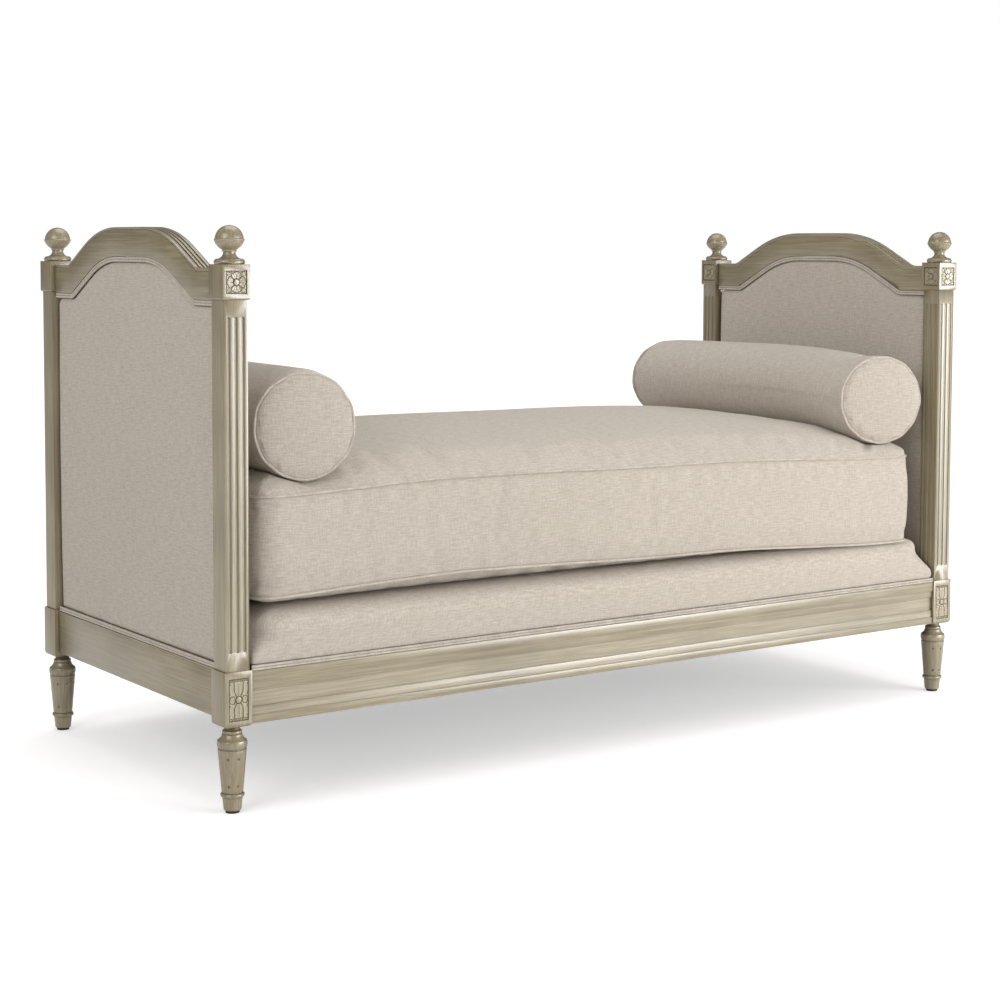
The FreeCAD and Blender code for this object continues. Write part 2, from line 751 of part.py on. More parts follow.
crest_inner = half_length - size.crest_thickness / 2
crest_outer = half_length + size.crest_thickness / 2
crest_top = size.crest_width
crest = prism(arch_band(0, crest_top, inner_half_depth, size.crest_corner_radius), crest_inner, size.crest_thickness)
tenon_width = size.tenon_thickness
tenon_height = size.crest_width - 2 * size.tenon_shoulder
tenon_reach = inner_half_depth + size.tenon_length
for y_sign in SIDES.values():
    tenon = Part.makeBox(tenon_width, size.tenon_length, tenon_height)
    tenon.translate(Vector(half_length - tenon_width / 2,
                           inner_half_depth if y_sign > 0 else -tenon_reach,
                           size.crest_bottom + size.tenon_shoulder))
    crest = crest.fuse(tenon)
reed_region = arch_band(crest_top - size.reed_groove_depth, crest_top + size.reed_groove_depth)
for groove in range(int(size.reed_groove_count)):
    across = (groove - (size.reed_groove_count - 1) / 2) * size.reed_pitch
    crest = crest.cut(prism(reed_region, half_length + across - size.reed_groove_width / 2, size.reed_groove_width))
for drop, face, inwards in ((size.inner_quirk_drop, crest_inner, 1), (size.outer_quirk_drop, crest_outer, -1)):
    quirk = arch_band(crest_top - drop, crest_top - drop + size.quirk_width, inner_half_depth)
    crest = crest.cut(prism(quirk, face, inwards * size.quirk_depth))
bevel = Part.makeLoft([outline(arch_band(-size.board_gap, size.bevel_height), crest_inner),
                       outline(arch_band(-size.board_gap, 0), crest_inner + size.bevel_depth)], True, True)
crest = crest.cut(bevel).removeSplitter()
for_both_ends("crest_rail", crest)


# End panels: a thin board with a pad and a cover on both faces, edged with welt

board_inner = half_length - size.board_thickness / 2
board_outer = half_length + size.board_thickness / 2
panel_reach = inner_half_depth - size.panel_side_gap
panel_middle = (size.rail_top + size.crest_bottom + size.arch_rise) / 2
panel_far = math.hypot(panel_reach, panel_middle - size.rail_top)


def panel(lift, reach, bottom):
    """The outline of a panel that fills the arch, with its top corners rounded."""
    level = size.crest_bottom + lift
    radius = size.panel_corner
    middle = radius * (1 - math.sqrt(0.5))
    right = [(reach, bottom), (reach, level - radius), (reach - middle, level - middle, reach - radius, level)]
    return right + arch(lift) + mirrored(right)


def crowned(points, x, way, edge, crown):
    """A slab from x, with a crowned face towards the way it is built."""
    slab = prism(points, x, way * (edge + crown))
    radius = (panel_far ** 2 + crown ** 2) / (2 * crown)
    ball = Part.makeSphere(radius, Vector(x + way * (edge + crown - radius), 0, panel_middle), Vector(way, 0, 0))
    return slab.common(ball)


board = prism(panel(-size.board_gap, panel_reach, size.rail_top), board_inner, size.board_thickness)
for_both_ends("panel_board", board)

welt_room = size.welt_width + 2 * size.soft_gap
cover_skin = size.panel_cover_thickness
faces = (
    ("outer", board_outer + size.soft_gap, 1, size.outer_pad_edge, size.outer_pad_crown, size.rail_top + welt_room),
    ("inner", board_inner - size.soft_gap, -1, size.inner_pad_edge, size.inner_pad_crown,
     size.rail_top + size.soft_gap),
)
for face, start, way, edge, crown, bottom in faces:
    outside = crowned(panel(-welt_room, panel_reach, bottom), start, way, edge + size.soft_gap + cover_skin, crown)
    inside = crowned(panel(-welt_room - cover_skin, panel_reach - cover_skin, bottom + cover_skin),
                     start, way, edge + size.soft_gap, crown)
    pad_inset = cover_skin + size.soft_gap
    filling = crowned(panel(-welt_room - pad_inset, panel_reach - pad_inset, bottom + pad_inset),
                      start, way, edge, crown)
    for_both_ends(f"{face}_cover", outside.cut(inside))
    for_both_ends(f"{face}_pad", filling)
    welt = arch_band(-size.soft_gap - size.welt_width, -size.soft_gap, panel_reach)
    for_both_ends(f"{face}_crest_welt", prism(welt, start, way * size.welt_depth))

for end, x_sign in ENDS.items():
    middle = f"{x_sign} * (post_spacing_length / 2 + board_thickness / 2 + soft_gap + welt_depth / 2) - welt_depth / 2"
    welt = bound_box(f"{end}_outer_rail_welt", "welt_depth", "post_spacing_depth - block_width - 2 * panel_side_gap",
                     "welt_width", middle, "-(post_spacing_depth - block_width - 2 * panel_side_gap) / 2",
                     "rail_top + soft_gap")
    keep(f"{end}_outer_rail_welt", welt)
for side, y_sign in SIDES.items():
    face = "(post_spacing_depth / 2 + block_width / 2 - front_rail_setback + deck_overhang - welt_depth / 2)"
    length = "(post_spacing_length - block_width - 2 * deck_end_gap)"
    welt = bound_box(f"{side}_deck_welt", length, "welt_depth", "welt_width", f"-{length} / 2",
                     f"{y_sign} * {face} - welt_depth / 2", "rail_top + soft_gap")
    keep(f"{side}_deck_welt", welt)


# Under the deck: slats on cleats, a centre beam, glued and screwed corner blocks, and a dust cover

slat_top = "rail_top"
slat_length = "(post_spacing_depth + block_width - 2 * front_rail_setback - 2 * rail_thickness - 2 * slat_end_gap)"
slat_span = "(post_spacing_length - block_width - 2 * first_slat_inset)"
slats = []
for number in range(int(size.slat_count)):
    slats.append(bound_box(f"slat_{number + 1}", "slat_width", slat_length, "slat_thickness",
                           f"{slat_span} * ({number} / (slat_count - 1) - 0.5) - slat_width / 2",
                           f"-{slat_length} / 2", f"{slat_top} - slat_thickness"))
together("deck_slats", slats)

cleat_length = "(post_spacing_length - block_width - 2 * cleat_end_gap)"
cleat_bottom = "rail_top - slat_thickness - cleat_size"
rail_back = "(post_spacing_depth / 2 + block_width / 2 - front_rail_setback - rail_thickness)"
for side, y_sign in SIDES.items():
    cleat = bound_box(f"{side}_cleat", cleat_length, "cleat_size", "cleat_size", f"-{cleat_length} / 2",
                      f"{y_sign} * ({rail_back} - cleat_size / 2) - cleat_size / 2", cleat_bottom)
    keep(f"{side}_cleat", cleat)

beam_half = "(post_spacing_length / 2 + block_width / 2 - end_rail_setback - rail_thickness)"
beam = bound_box("centre_beam", f"2 * {beam_half}", "beam_width", "beam_height", f"-{beam_half}",
                 "-beam_width / 2", "rail_top - slat_thickness - beam_height")
keep("centre_beam", beam)


def screw(name, x, y, z, direction, length):
    """A screw whose head ends at a point and whose shank runs on along a direction."""
    shank = doc.addObject("Part::Cylinder", name + "_shank")
    head = doc.addObject("Part::Cylinder", name + "_head")
    for part, radius, height in ((shank, "screw_radius", length), (head, "screw_head_radius", "screw_head_height")):
        part.Placement = Placement(Vector(), Rotation(Vector(0, 0, 1), direction))
        bind(part, Radius=radius, Height=height)
        place(part, x, y, z)
    whole = doc.addObject("Part::Fuse", name)
    whole.Base = shank
    whole.Tool = head
    return whole


block_low = size.rail_top - size.corner_block_drop - size.corner_block_height
block_post = half_length - size.block_width / 2
corner_plan = [
    (end_rail_back, inner_half_depth),
    (end_rail_back, inner_half_depth - size.corner_block_reach),
    (block_post - size.corner_block_reach, front_rail_back),
    (block_post, front_rail_back),
    (block_post, inner_half_depth),
]
corner_blocks = []
corner_screws = []
block_middle = "rail_top - corner_block_drop - corner_block_height / 2"
for end, x_sign in ENDS.items():
    for side, y_sign in SIDES.items():
        plan = [Vector(x_sign * x, y_sign * y, block_low) for x, y in corner_plan]
        block = Part.Face(Part.makePolygon(plan + plan[:1])).extrude(Vector(0, 0, size.corner_block_height))
        corner = doc.addObject("Part::Feature", f"{side}_{end}_corner_block")
        corner.Shape = block
        corner_blocks.append(corner)
        along_rail = "(post_spacing_length / 2 - block_width / 2 - corner_screw_inset)"
        into_rail = f"({rail_back} + corner_screw_hold - corner_screw_length)"
        corner_screws.append(screw(f"{side}_{end}_rail_screw", f"{x_sign} * {along_rail}", f"{y_sign} * {into_rail}",
                                   block_middle, Vector(0, y_sign, 0), "corner_screw_length"))
        along_end = "(post_spacing_depth / 2 - block_width / 2 - corner_screw_inset)"
        into_end = f"({beam_half} + corner_screw_hold - corner_screw_length)"
        corner_screws.append(screw(f"{side}_{end}_end_screw", f"{x_sign} * {into_end}", f"{y_sign} * {along_end}",
                                   block_middle, Vector(x_sign, 0, 0), "corner_screw_length"))
together("corner_blocks", corner_blocks)
together("corner_screws", corner_screws)

cleat_screws = []
cleat_middle = f"{cleat_bottom} + cleat_size / 2"
for side, y_sign in SIDES.items():
    for number in range(int(size.cleat_screw_count)):
        x = f"({cleat_length} - 2 * cleat_screw_inset) * ({number} / (cleat_screw_count - 1) - 0.5)"
        y = f"{y_sign} * ({rail_back} - cleat_size - screw_head_height)"
        cleat_screws.append(screw(f"{side}_cleat_screw_{number + 1}", x, y, cleat_middle, Vector(0, y_sign, 0),
                                  "cleat_size + screw_head_height + cleat_screw_hold"))
together("cleat_screws", cleat_screws)

dust_length = f"2 * ({beam_half} + rail_thickness - dust_cover_inset)"
dust_width = "(post_spacing_depth - block_width - 2 * cleat_end_gap)"
dust_level = "end_rail_bottom - dust_cover_thickness"
dust_middle = bound_box("dust_cover_middle", dust_length, dust_width, "dust_cover_thickness", f"-({dust_length}) / 2",
                        f"-{dust_width} / 2", dust_level)
dust_sides = bound_box("dust_cover_sides", cleat_length, f"2 * ({rail_back} - cleat_end_gap)", "dust_cover_thickness",
                       f"-{cleat_length} / 2", f"-({rail_back} - cleat_end_gap)", dust_level)
dust = doc.addObject("Part::Fuse", "dust_cover")
dust.Base = dust_middle
dust.Tool = dust_sides
keep("dust_cover", dust)


# Soft pieces are stacks of level, round-cornered sections

def rounded_plan(z, half_x, half_y, corner, centre_x):
    """A level rectangle with round corners."""
    middle = corner * (1 - math.sqrt(0.5))
    edges = []
    corners = ((1, 1), (-1, 1), (-1, -1), (1, -1))
    here = None
    first = None
    for sign_x, sign_y in corners:
        flat_end = Vector(centre_x + sign_x * half_x, sign_y * (half_y - corner), z)
        side_end = Vector(centre_x + sign_x * (half_x - corner), sign_y * half_y, z)
        start, stop = (flat_end, side_end) if sign_x == sign_y else (side_end, flat_end)
        through = Vector(centre_x + sign_x * (half_x - middle), sign_y * (half_y - middle), z)
        if here is None:
            first = start
        else:
            edges.append(Part.LineSegment(here, start).toShape())
        edges.append(Part.Arc(start, through, stop).toShape())
        here = stop
    edges.append(Part.LineSegment(here, first).toShape())
    return Part.Wire(edges)


def stack(levels, inset=0, raised=0, centre_x=0):
    """A solid through sections of (height, half length, half depth, corner), all drawn in by an inset."""
    wires = []
    low = levels[0][0]
    high = levels[-1][0]
    for number, (z, half_x, half_y, corner) in enumerate(levels):
        level = low + raised if number == 0 else z - inset * (z - low) / (high - low)
        wires.append(rounded_plan(level, half_x - inset, half_y - inset, corner - inset, centre_x))
    return Part.makeLoft(wires, True, True)


# Deck: a firm cushion with drawn-down shoulders, its cover folded under it above the welt

deck_length = half_length - size.block_width / 2 - size.deck_end_gap
deck_depth = front_rail_face + size.deck_overhang
deck_welt_top = size.rail_top + size.welt_width + 2 * size.soft_gap
deck_top = size.rail_top + size.deck_rise
shoulder = deck_top - size.deck_shoulder_height
shoulder_steps = 6


def deck_stack(inset=0, raised=0):
    """The deck's solid, drawn in by an inset, with the fold over the welts that much higher."""
    base_depth = deck_depth - size.welt_depth - size.soft_gap
    fold = deck_welt_top + inset
    levels = [
        (size.rail_top, deck_length, base_depth, size.deck_base_corner),
        (fold, deck_length, base_depth, size.deck_base_corner),
        (fold + size.soft_gap, deck_length, deck_depth - size.deck_fold, size.deck_base_corner),
        (deck_welt_top + size.deck_belly_height, deck_length, deck_depth + size.deck_overhang,
         size.deck_base_corner * 2),
    ]
    for step in range(shoulder_steps + 1):
        angle = math.radians(90 * step / shoulder_steps)
        drawn = 1 - math.cos(angle)
        levels.append((
            shoulder + size.deck_shoulder_height * math.sin(angle),
            deck_length - size.deck_shoulder_end * drawn,
            deck_depth - size.deck_fold - size.deck_shoulder_side * drawn,
            size.deck_corner,
        ))
    return stack(levels, inset, raised)


deck_skin = size.deck_cover_thickness
solid_feature("deck_cover", deck_stack().cut(deck_stack(deck_skin, -size.soft_gap)))
solid_feature("deck_foam", deck_stack(deck_skin + size.filling_gap))


# Mattress: boxed sides between two piped seams, a deep crown on top, and hollows pressed by the bolsters

mattress_low = deck_top + size.soft_gap
bottom_seam = deck_top + size.underside_crown
top_seam = bottom_seam + size.boxing_height
mattress_half_length = size.mattress_length / 2
mattress_half_depth = size.mattress_depth / 2
mattress_levels = [
    (mattress_low, mattress_half_length - size.underside_draw, mattress_half_depth - size.underside_draw,
     size.mattress_corner),
    ((mattress_low + bottom_seam) / 2, mattress_half_length - size.underside_belly_draw,
     mattress_half_depth - size.underside_belly_draw, size.mattress_corner),
]
boxing_steps = 4
for step in range(boxing_steps + 1):
    bulge = size.boxing_bulge * math.sin(math.pi * step / boxing_steps)
    mattress_levels.append((bottom_seam + size.boxing_height * step / boxing_steps, mattress_half_length + bulge,
                            mattress_half_depth + bulge, size.mattress_corner))
crown_steps = 8
crown_end = math.radians(size.mattress_crown_end)
for step in range(1, crown_steps + 1):
    angle = crown_end * step / crown_steps
    height = math.sin(angle)
    half_depth_here = mattress_half_depth * math.cos(angle) ** size.mattress_crown_power
    mattress_levels.append((top_seam + size.mattress_crown * height, mattress_half_length * math.cos(angle),
                            half_depth_here, half_depth_here * (size.mattress_corner / mattress_half_depth) ** (1 - height)))

bolster_centre = half_length - size.bolster_inset
bolster_half = size.bolster_length / 2


def pressed(shape, clearance):
    """A shape with a hollow under each bolster."""
    reach = bolster_half + size.bolster_dome
    for x_sign in ENDS.values():
        hollow = Part.makeCylinder(size.bolster_radius + clearance, 2 * reach,
                                   Vector(x_sign * bolster_centre, -reach, size.bolster_height), Vector(0, 1, 0))
        shape = shape.cut(hollow)
    return shape


def seam_ring(z, radius):
    """Piping all the way round the mattress at a seam."""
    outset = size.piping_outset
    path = rounded_plan(z, mattress_half_length + outset, mattress_half_depth + outset,
                        size.mattress_corner + outset, size.mattress_shift)
    first = path.OrderedEdges[0]
    section = Part.Wire(Part.makeCircle(radius, first.valueAt(first.FirstParameter),
                                        first.tangentAt(first.FirstParameter)).Edges)
    return path.makePipeShell([section], True, False)


shift = size.mattress_shift
mattress_skin = size.mattress_cover_thickness
core_inset = mattress_skin + size.filling_gap
clearance = size.bolster_clearance
mattress_cover = pressed(stack(mattress_levels, 0, 0, shift), clearance)
hollow = pressed(stack(mattress_levels, mattress_skin, mattress_skin, shift), clearance + mattress_skin)
mattress_cover = mattress_cover.cut(hollow)
for name, seam in (("top", top_seam), ("bottom", bottom_seam)):
    mattress_cover = mattress_cover.cut(seam_ring(seam, size.piping_radius + size.soft_gap))
    solid_feature(f"mattress_{name}_piping", seam_ring(seam, size.piping_radius))
solid_feature("mattress_cover", mattress_cover)
solid_feature("mattress_core",
              pressed(stack(mattress_levels, core_inset, core_inset, shift), clearance + core_inset))
zip_tape = bound_box("mattress_zip", "zip_length", "zip_thickness", "zip_width",
                     "mattress_shift - zip_length / 2", "mattress_depth / 2 + boxing_bulge",
                     "rail_top + deck_rise + underside_crown + boxing_height / 2 - zip_width / 2")
keep("mattress_zip", zip_tape)


# Bolsters: barrels a little drawn in at the piped seams, with domed ends

def barrel(inset):
    """A bolster round the Y axis, drawn in by an inset."""
    rim = size.bolster_radius - size.bolster_draw - inset
    seam = bolster_half - inset
    apex = seam + size.bolster_dome
    dome_radius = (rim ** 2 + size.bolster_dome ** 2) / (2 * size.bolster_dome)
    half_angle = math.asin(rim / dome_radius) / 2
    dome_x = dome_radius * math.sin(half_angle)
    dome_y = apex - dome_radius * (1 - math.cos(half_angle))
    side = Part.Arc(Vector(rim, -seam, 0), Vector(size.bolster_radius - inset, 0, 0), Vector(rim, seam, 0))
    far_end = Part.Arc(Vector(rim, seam, 0), Vector(dome_x, dome_y, 0), Vector(0, apex, 0))
    near_end = Part.Arc(Vector(0, -apex, 0), Vector(dome_x, -dome_y, 0), Vector(rim, -seam, 0))
    axis = Part.LineSegment(Vector(0, apex, 0), Vector(0, -apex, 0))
    profile = Part.Wire([near_end.toShape(), side.toShape(), far_end.toShape(), axis.toShape()])
    return Part.Face(profile).revolve(Vector(), Vector(0, 1, 0), 360)


bolster_skin = size.bolster_cover_thickness
for end, x_sign in ENDS.items():
    middle = Vector(x_sign * bolster_centre, 0, size.bolster_height)
    cover = barrel(0).cut(barrel(bolster_skin))
    rings = []
    for side, y_sign in SIDES.items():
        seam = Vector(0, y_sign * bolster_half, 0)
        cover = cover.cut(Part.makeTorus(size.bolster_radius - size.bolster_draw, size.piping_radius + size.soft_gap,
                                         seam, Vector(0, 1, 0)))
        ring = doc.addObject("Part::Torus", f"{side}_{end}_bolster_ring")
        ring.Placement = Placement(Vector(), Rotation(Vector(0, 0, 1), Vector(0, 1, 0)))
        bind(ring, Radius1="bolster_radius - bolster_draw", Radius2="piping_radius")
        place(ring, f"{x_sign} * (post_spacing_length / 2 - bolster_inset)", f"{y_sign} * bolster_length / 2",
              "bolster_height")
        rings.append(ring)
    core = barrel(bolster_skin + size.soft_gap)
    solid_feature(f"{end}_bolster_cover", cover, middle)
    solid_feature(f"{end}_bolster_core", core, middle)
    together(f"{end}_bolster_piping", rings)


# Every feature has to have worked before anything is written

doc.recompute()
failed = [thing.Label for thing in doc.Objects if {"Invalid", "Error"} & set(thing.State)]
cuts = ("Pocket", "Subtractive", "LinearPattern", "PolarPattern")
for thing in doc.Objects:
    kind = thing.TypeId.partition("PartDesign::")[2]
    if kind.startswith(cuts) and thing.Shape.Volume >= thing.BaseFeature.Shape.Volume:
        failed.append(thing.Label + " cuts nothing")
for node, thing in sub_parts.items():
    if thing.Shape.isNull() or not thing.Shape.isValid() or not thing.Shape.Solids:
        failed.append(node + " has no valid solid")
if failed:
    raise RuntimeError("not built: " + ", ".join(failed))

os.makedirs("parts", exist_ok=True)
for node, thing in sub_parts.items():
    thing.Shape.exportStep(f"parts/{node}.step")
print(len(sub_parts), "sub-parts written")
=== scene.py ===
import bpy
import bmesh
import math
from mathutils import Matrix, Vector, noise


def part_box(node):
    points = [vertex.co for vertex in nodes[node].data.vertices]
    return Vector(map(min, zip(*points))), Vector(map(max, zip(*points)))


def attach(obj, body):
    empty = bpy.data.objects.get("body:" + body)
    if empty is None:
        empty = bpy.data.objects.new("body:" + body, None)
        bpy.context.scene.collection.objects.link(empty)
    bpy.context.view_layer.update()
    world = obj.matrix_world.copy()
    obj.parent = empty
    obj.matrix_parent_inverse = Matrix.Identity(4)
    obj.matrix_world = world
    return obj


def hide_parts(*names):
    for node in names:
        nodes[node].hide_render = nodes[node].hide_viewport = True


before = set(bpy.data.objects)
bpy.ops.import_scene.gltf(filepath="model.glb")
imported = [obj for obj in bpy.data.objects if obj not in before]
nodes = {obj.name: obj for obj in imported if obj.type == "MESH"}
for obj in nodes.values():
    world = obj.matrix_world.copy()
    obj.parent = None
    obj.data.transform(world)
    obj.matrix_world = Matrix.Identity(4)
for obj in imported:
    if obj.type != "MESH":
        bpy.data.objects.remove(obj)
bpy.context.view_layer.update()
mm = 0.001
print("stage: frame loaded,", len(nodes), "nodes")


# Sockets that can be written as sums and products

class Wire:
    def __init__(self, graph, socket):
        self.graph = graph
        self.socket = socket

    def maths(self, operation, other, swapped=False):
        first, second = (other, self) if swapped else (self, other)
        return self.graph.node("ShaderNodeMath", {"operation": operation}, {0: first, 1: second})

    def __add__(self, other):
        return self.maths("ADD", other)

    def __sub__(self, other):
        return self.maths("SUBTRACT", other)

    def __rsub__(self, other):
        return self.maths("SUBTRACT", other, True)

    def __mul__(self, other):
        return self.maths("MULTIPLY", other)

    __radd__ = __add__
    __rmul__ = __mul__


class Graph:
    def __init__(self, tree):
        self.tree = tree

    def node(self, kind, settings=None, sockets=None, out=0):
        made = self.tree.nodes.new(kind)
        for name, value in (settings or {}).items():
            setattr(made, name, value)
        for name, value in (sockets or {}).items():
            if isinstance(value, Wire):
                self.tree.links.new(value.socket, made.inputs[name])
            else:
                made.inputs[name].default_value = value
        return Wire(self, made.outputs[out]) if len(made.outputs) else made

    def coords(self, scale=(1, 1, 1)):  # the piece's own place, in metres
        place = self.node("ShaderNodeTexCoord", out="Object")
        return self.node("ShaderNodeMapping", None, {"Vector": place, "Scale": scale})

    def noise(self, vector, scale, detail=3.0, rough=0.5):
        return self.node("ShaderNodeTexNoise", None,
                         {"Vector": vector, "Scale": scale, "Detail": detail, "Roughness": rough})

    def greater(self, first, second):
        return self.node("ShaderNodeMath", {"operation": "MAXIMUM"}, {0: first, 1: second})

    def blend(self, factor, first, second):  # 0, 6, 7 and 2 are the mix node's colour sockets
        return self.node("ShaderNodeMix", {"data_type": "RGBA", "blend_type": "MIX"},
                         {0: factor, 6: first, 7: second}, out=2)

    def between(self, value, low, high):  # 0 at low and below, 1 at high and above
        return self.node("ShaderNodeMapRange", {"interpolation_type": "SMOOTHSTEP"},
                         {"Value": value, "From Min": low, "From Max": high})


def newMaterial(name, fixed, build):
    # build(graph) gives the sockets that vary: "Base Color", "Roughness", and "height" for the bump
    material = bpy.data.materials.new(name)
    material.use_nodes = True
    material.node_tree.nodes.clear()
    graph = Graph(material.node_tree)
    sockets = build(graph)
    height = sockets.pop("height", None)
    depth = sockets.pop("depth", 0.5 * mm)
    if height is not None:
        sockets["Normal"] = graph.node("ShaderNodeBump", None,
                                       {"Height": height, "Strength": 1.0, "Distance": depth})
    shader = graph.node("ShaderNodeBsdfPrincipled", None, {**fixed, **sockets})
    graph.node("ShaderNodeOutputMaterial", None, {"Surface": shader})
    return material


# Painted wood: a sage coat brushed on along the grain, a dark glaze wiped into what is sunk that also paints
# in the shade of recesses and of the joins between parts, worn pale on the edges

coat = {
    "colour": (0.225, 0.180, 0.098, 1),
    "pale": (0.44, 0.385, 0.255, 1),
    "glazeAndShade": (0.062, 0.041, 0.014, 1),
    "brushAcross": 260,
    "brushAlong": 7,
    "reach": 0.012,  # how far from a wall the glaze's painted shade reaches
}


def paintedWood(name, grain):
    def build(graph):
        stretch = [coat["brushAcross"]] * 3
        stretch[grain] = coat["brushAlong"]
        strokes = graph.noise(graph.coords(stretch), 1.0, 4.0, 0.62)
        broad = graph.noise(graph.coords((4, 4, 4)), 1.0, 3.0, 0.55)
        smear = [value * 0.3 for value in stretch]
        patches = graph.noise(graph.coords(smear), 1.0, 3.0, 0.6)
        streaks = graph.between(strokes, 0.36, 0.66)
        # painted shade: ambient occlusion darkens with glaze whatever lies near a wall or another part
        sunk = graph.node("ShaderNodeAmbientOcclusion", {"samples": 12, "only_local": False},
                          {"Distance": coat["reach"]}, out="AO")
        # painted shade in the carving: the deeper a point of the relief, the more dark glaze it gets
        carvedShade = graph.node("ShaderNodeAttribute", {"attribute_name": "sunk"}, out="Fac")
        glazedShade = graph.greater(graph.between(sunk, 0.92, 0.30), carvedShade * 0.9)
        worn = graph.node("ShaderNodeAttribute", {"attribute_name": "worn"}, out="Fac")
        rubbed = worn * graph.between(patches, 0.3, 0.62)
        base = graph.blend(streaks * 0.42, coat["colour"], coat["pale"])
        base = graph.blend(graph.between(broad, 0.35, 0.75) * 0.30, base, coat["glazeAndShade"])
        base = graph.blend(graph.between(patches, 0.57, 0.80) * 0.32, base, coat["glazeAndShade"])
        base = graph.blend(rubbed * 0.75, base, coat["pale"])
        # painted shade, mixed in as dark glaze over recesses, joins and deep carving
        base = graph.blend(glazedShade * 0.85, base, coat["glazeAndShade"])
        return {
            "Base Color": base,
            "Roughness": 0.27 + strokes * 0.16,
            "height": strokes + patches * 0.6,
            "depth": 0.25 * mm,
        }
    return newMaterial(name, {"Specular IOR Level": 1.0, "Coat Weight": 0.8, "Coat Roughness": 0.3}, build)


woodAlong = {"x": paintedWood("paintedWoodLong", 0), "y": paintedWood("paintedWoodDeep", 1),
             "z": paintedWood("paintedWoodUpright", 2)}


# Linen: plain weave of uneven threads, on the piece's own map in metres

linen = {
    "light": (0.605, 0.545, 0.475, 1),
    "dark": (0.375, 0.322, 0.262, 1),
    "thread": 0.85 * mm,
    "slubLength": 0.026,
    "slubWidth": 0.0026,
}


def wovenLinen(name, onMap=True):
    def build(graph):
        if onMap:
            place = graph.node("ShaderNodeUVMap", {"uv_map": "cloth"})
        else:
            place = graph.coords()
        across = graph.node("ShaderNodeSeparateXYZ", None, {0: place})
        along = Wire(graph, across.socket.node.outputs[1])
        count = 2 * math.pi / linen["thread"]

        def sine(value):
            return graph.node("ShaderNodeMath", {"operation": "SINE"}, {0: value})
        wobble = graph.noise(place, 90, 2.0) * 1.4
        warp = sine(across * count + wobble)
        weft = sine(along * count + wobble)
        weave = warp * weft * 0.5 + 0.5
        longWay = graph.node("ShaderNodeMapping", None, {"Vector": place, "Scale": (
            1 / linen["slubLength"], 1 / linen["slubWidth"], 1 / linen["slubLength"])})
        crossWay = graph.node("ShaderNodeMapping", None, {"Vector": place, "Scale": (
            1 / linen["slubWidth"], 1 / linen["slubLength"], 1 / linen["slubLength"])})
        weftSlubs = graph.noise(longWay, 1.0, 2.0, 0.6)
        warpSlubs = graph.noise(crossWay, 1.0, 2.0, 0.6)
        slubs = weftSlubs * 0.6 + warpSlubs * 0.4
        fleck = graph.noise(place, 330, 3.0, 0.75)
        tone = graph.between(slubs * 0.62 + fleck * 0.38, 0.40, 0.60)
        broad = graph.noise(place, 3.0, 2.0)
        shade = (1 - tone) * 0.62 + (1 - weave) * 0.14 + graph.between(broad, 0.4, 0.8) * 0.06
        base = graph.blend(shade, linen["light"], linen["dark"])
        return {
            "Base Color": base,
            "Roughness": 0.88 + weave * 0.08,
            "height": weave + slubs * 1.5,
            "depth": 0.35 * mm,
        }
    return newMaterial(name, {"Sheen Weight": 0.12, "Sheen Roughness": 0.5, "Specular IOR Level": 0.25},
                       build)


linenCloth = wovenLinen("linenCloth")
linenCord = wovenLinen("linenCord", False)


# Plain finishes for what is seldom seen

def grained(name, colour, dark, grain, rough, depth):
    def build(graph):
        stretch = [160, 160, 160]
        stretch[grain] = 5
        streaks = graph.noise(graph.coords(stretch), 1.0, 4.0, 0.6)
        rings = graph.noise(graph.coords([value * 0.12 for value in stretch]), 1.0, 2.0)
        shade = graph.between(streaks, 0.35, 0.7) * 0.5 + graph.between(rings, 0.4, 0.65) * 0.5
        return {"Base Color": graph.blend(shade, colour, dark), "Roughness": rough + streaks * 0.2,
                "height": streaks, "depth": depth}
    return newMaterial(name, {}, build)


def speckled(name, colour, dark, scale, rough, depth, metal=0.0):
    def build(graph):
        grains = graph.noise(graph.coords(), scale, 4.0, 0.7)
        broad = graph.noise(graph.coords(), scale * 0.06, 2.0)
        shade = graph.between(grains, 0.35, 0.7) * 0.6 + graph.between(broad, 0.35, 0.7) * 0.3
        return {"Base Color": graph.blend(shade, colour, dark), "Roughness": rough + grains * 0.2,
                "height": grains, "depth": depth}
    return newMaterial(name, {"Metallic": metal}, build)


bareWood = {"colour": (0.56, 0.38, 0.20, 1), "dark": (0.36, 0.21, 0.09, 1), "rough": 0.62, "depth": 0.2 * mm}
bareAlong = {axis: grained("bareWood" + way, grain=grain, **bareWood)
             for grain, (axis, way) in enumerate((("x", "Long"), ("y", "Deep"), ("z", "Upright")))}
zinc = speckled("zincPlate", (0.62, 0.62, 0.63, 1), (0.42, 0.42, 0.43, 1), 900, 0.28, 0.02 * mm, 1.0)
darkGlide = speckled("darkGlide", (0.035, 0.028, 0.022, 1), (0.012, 0.010, 0.008, 1), 700, 0.5, 0.1 * mm)
dustCloth = speckled("dustCloth", (0.022, 0.022, 0.022, 1), (0.006, 0.006, 0.006, 1), 1200, 0.9, 0.3 * mm)
zipTape = speckled("zipTape", (0.50, 0.45, 0.38, 1), (0.34, 0.30, 0.25, 1), 1500, 0.85, 0.2 * mm)
print("stage: materials made")


def steps(low, high, count):
    return [low + (high - low) * i / count for i in range(count + 1)]


def eased01(value):
    value = min(1.0, max(0.0, value))
    return value * value * (3 - 2 * value)


# Pieces made of meshes

def settledMesh(piece):  # its mesh with every modifier applied
    bpy.context.view_layer.update()
    settled = piece.evaluated_get(bpy.context.evaluated_depsgraph_get())
    return bpy.data.meshes.new_from_object(settled)


def finish(piece, node, body, slot, *replaced):
    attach(piece, body)
    if replaced:
        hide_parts(*replaced)
    print("piece:", node)


def meshObject(name, mesh, material):
    piece = bpy.data.objects.new(name, mesh)
    bpy.context.scene.collection.objects.link(piece)
    mesh.materials.clear()
    mesh.materials.append(material)
    return piece


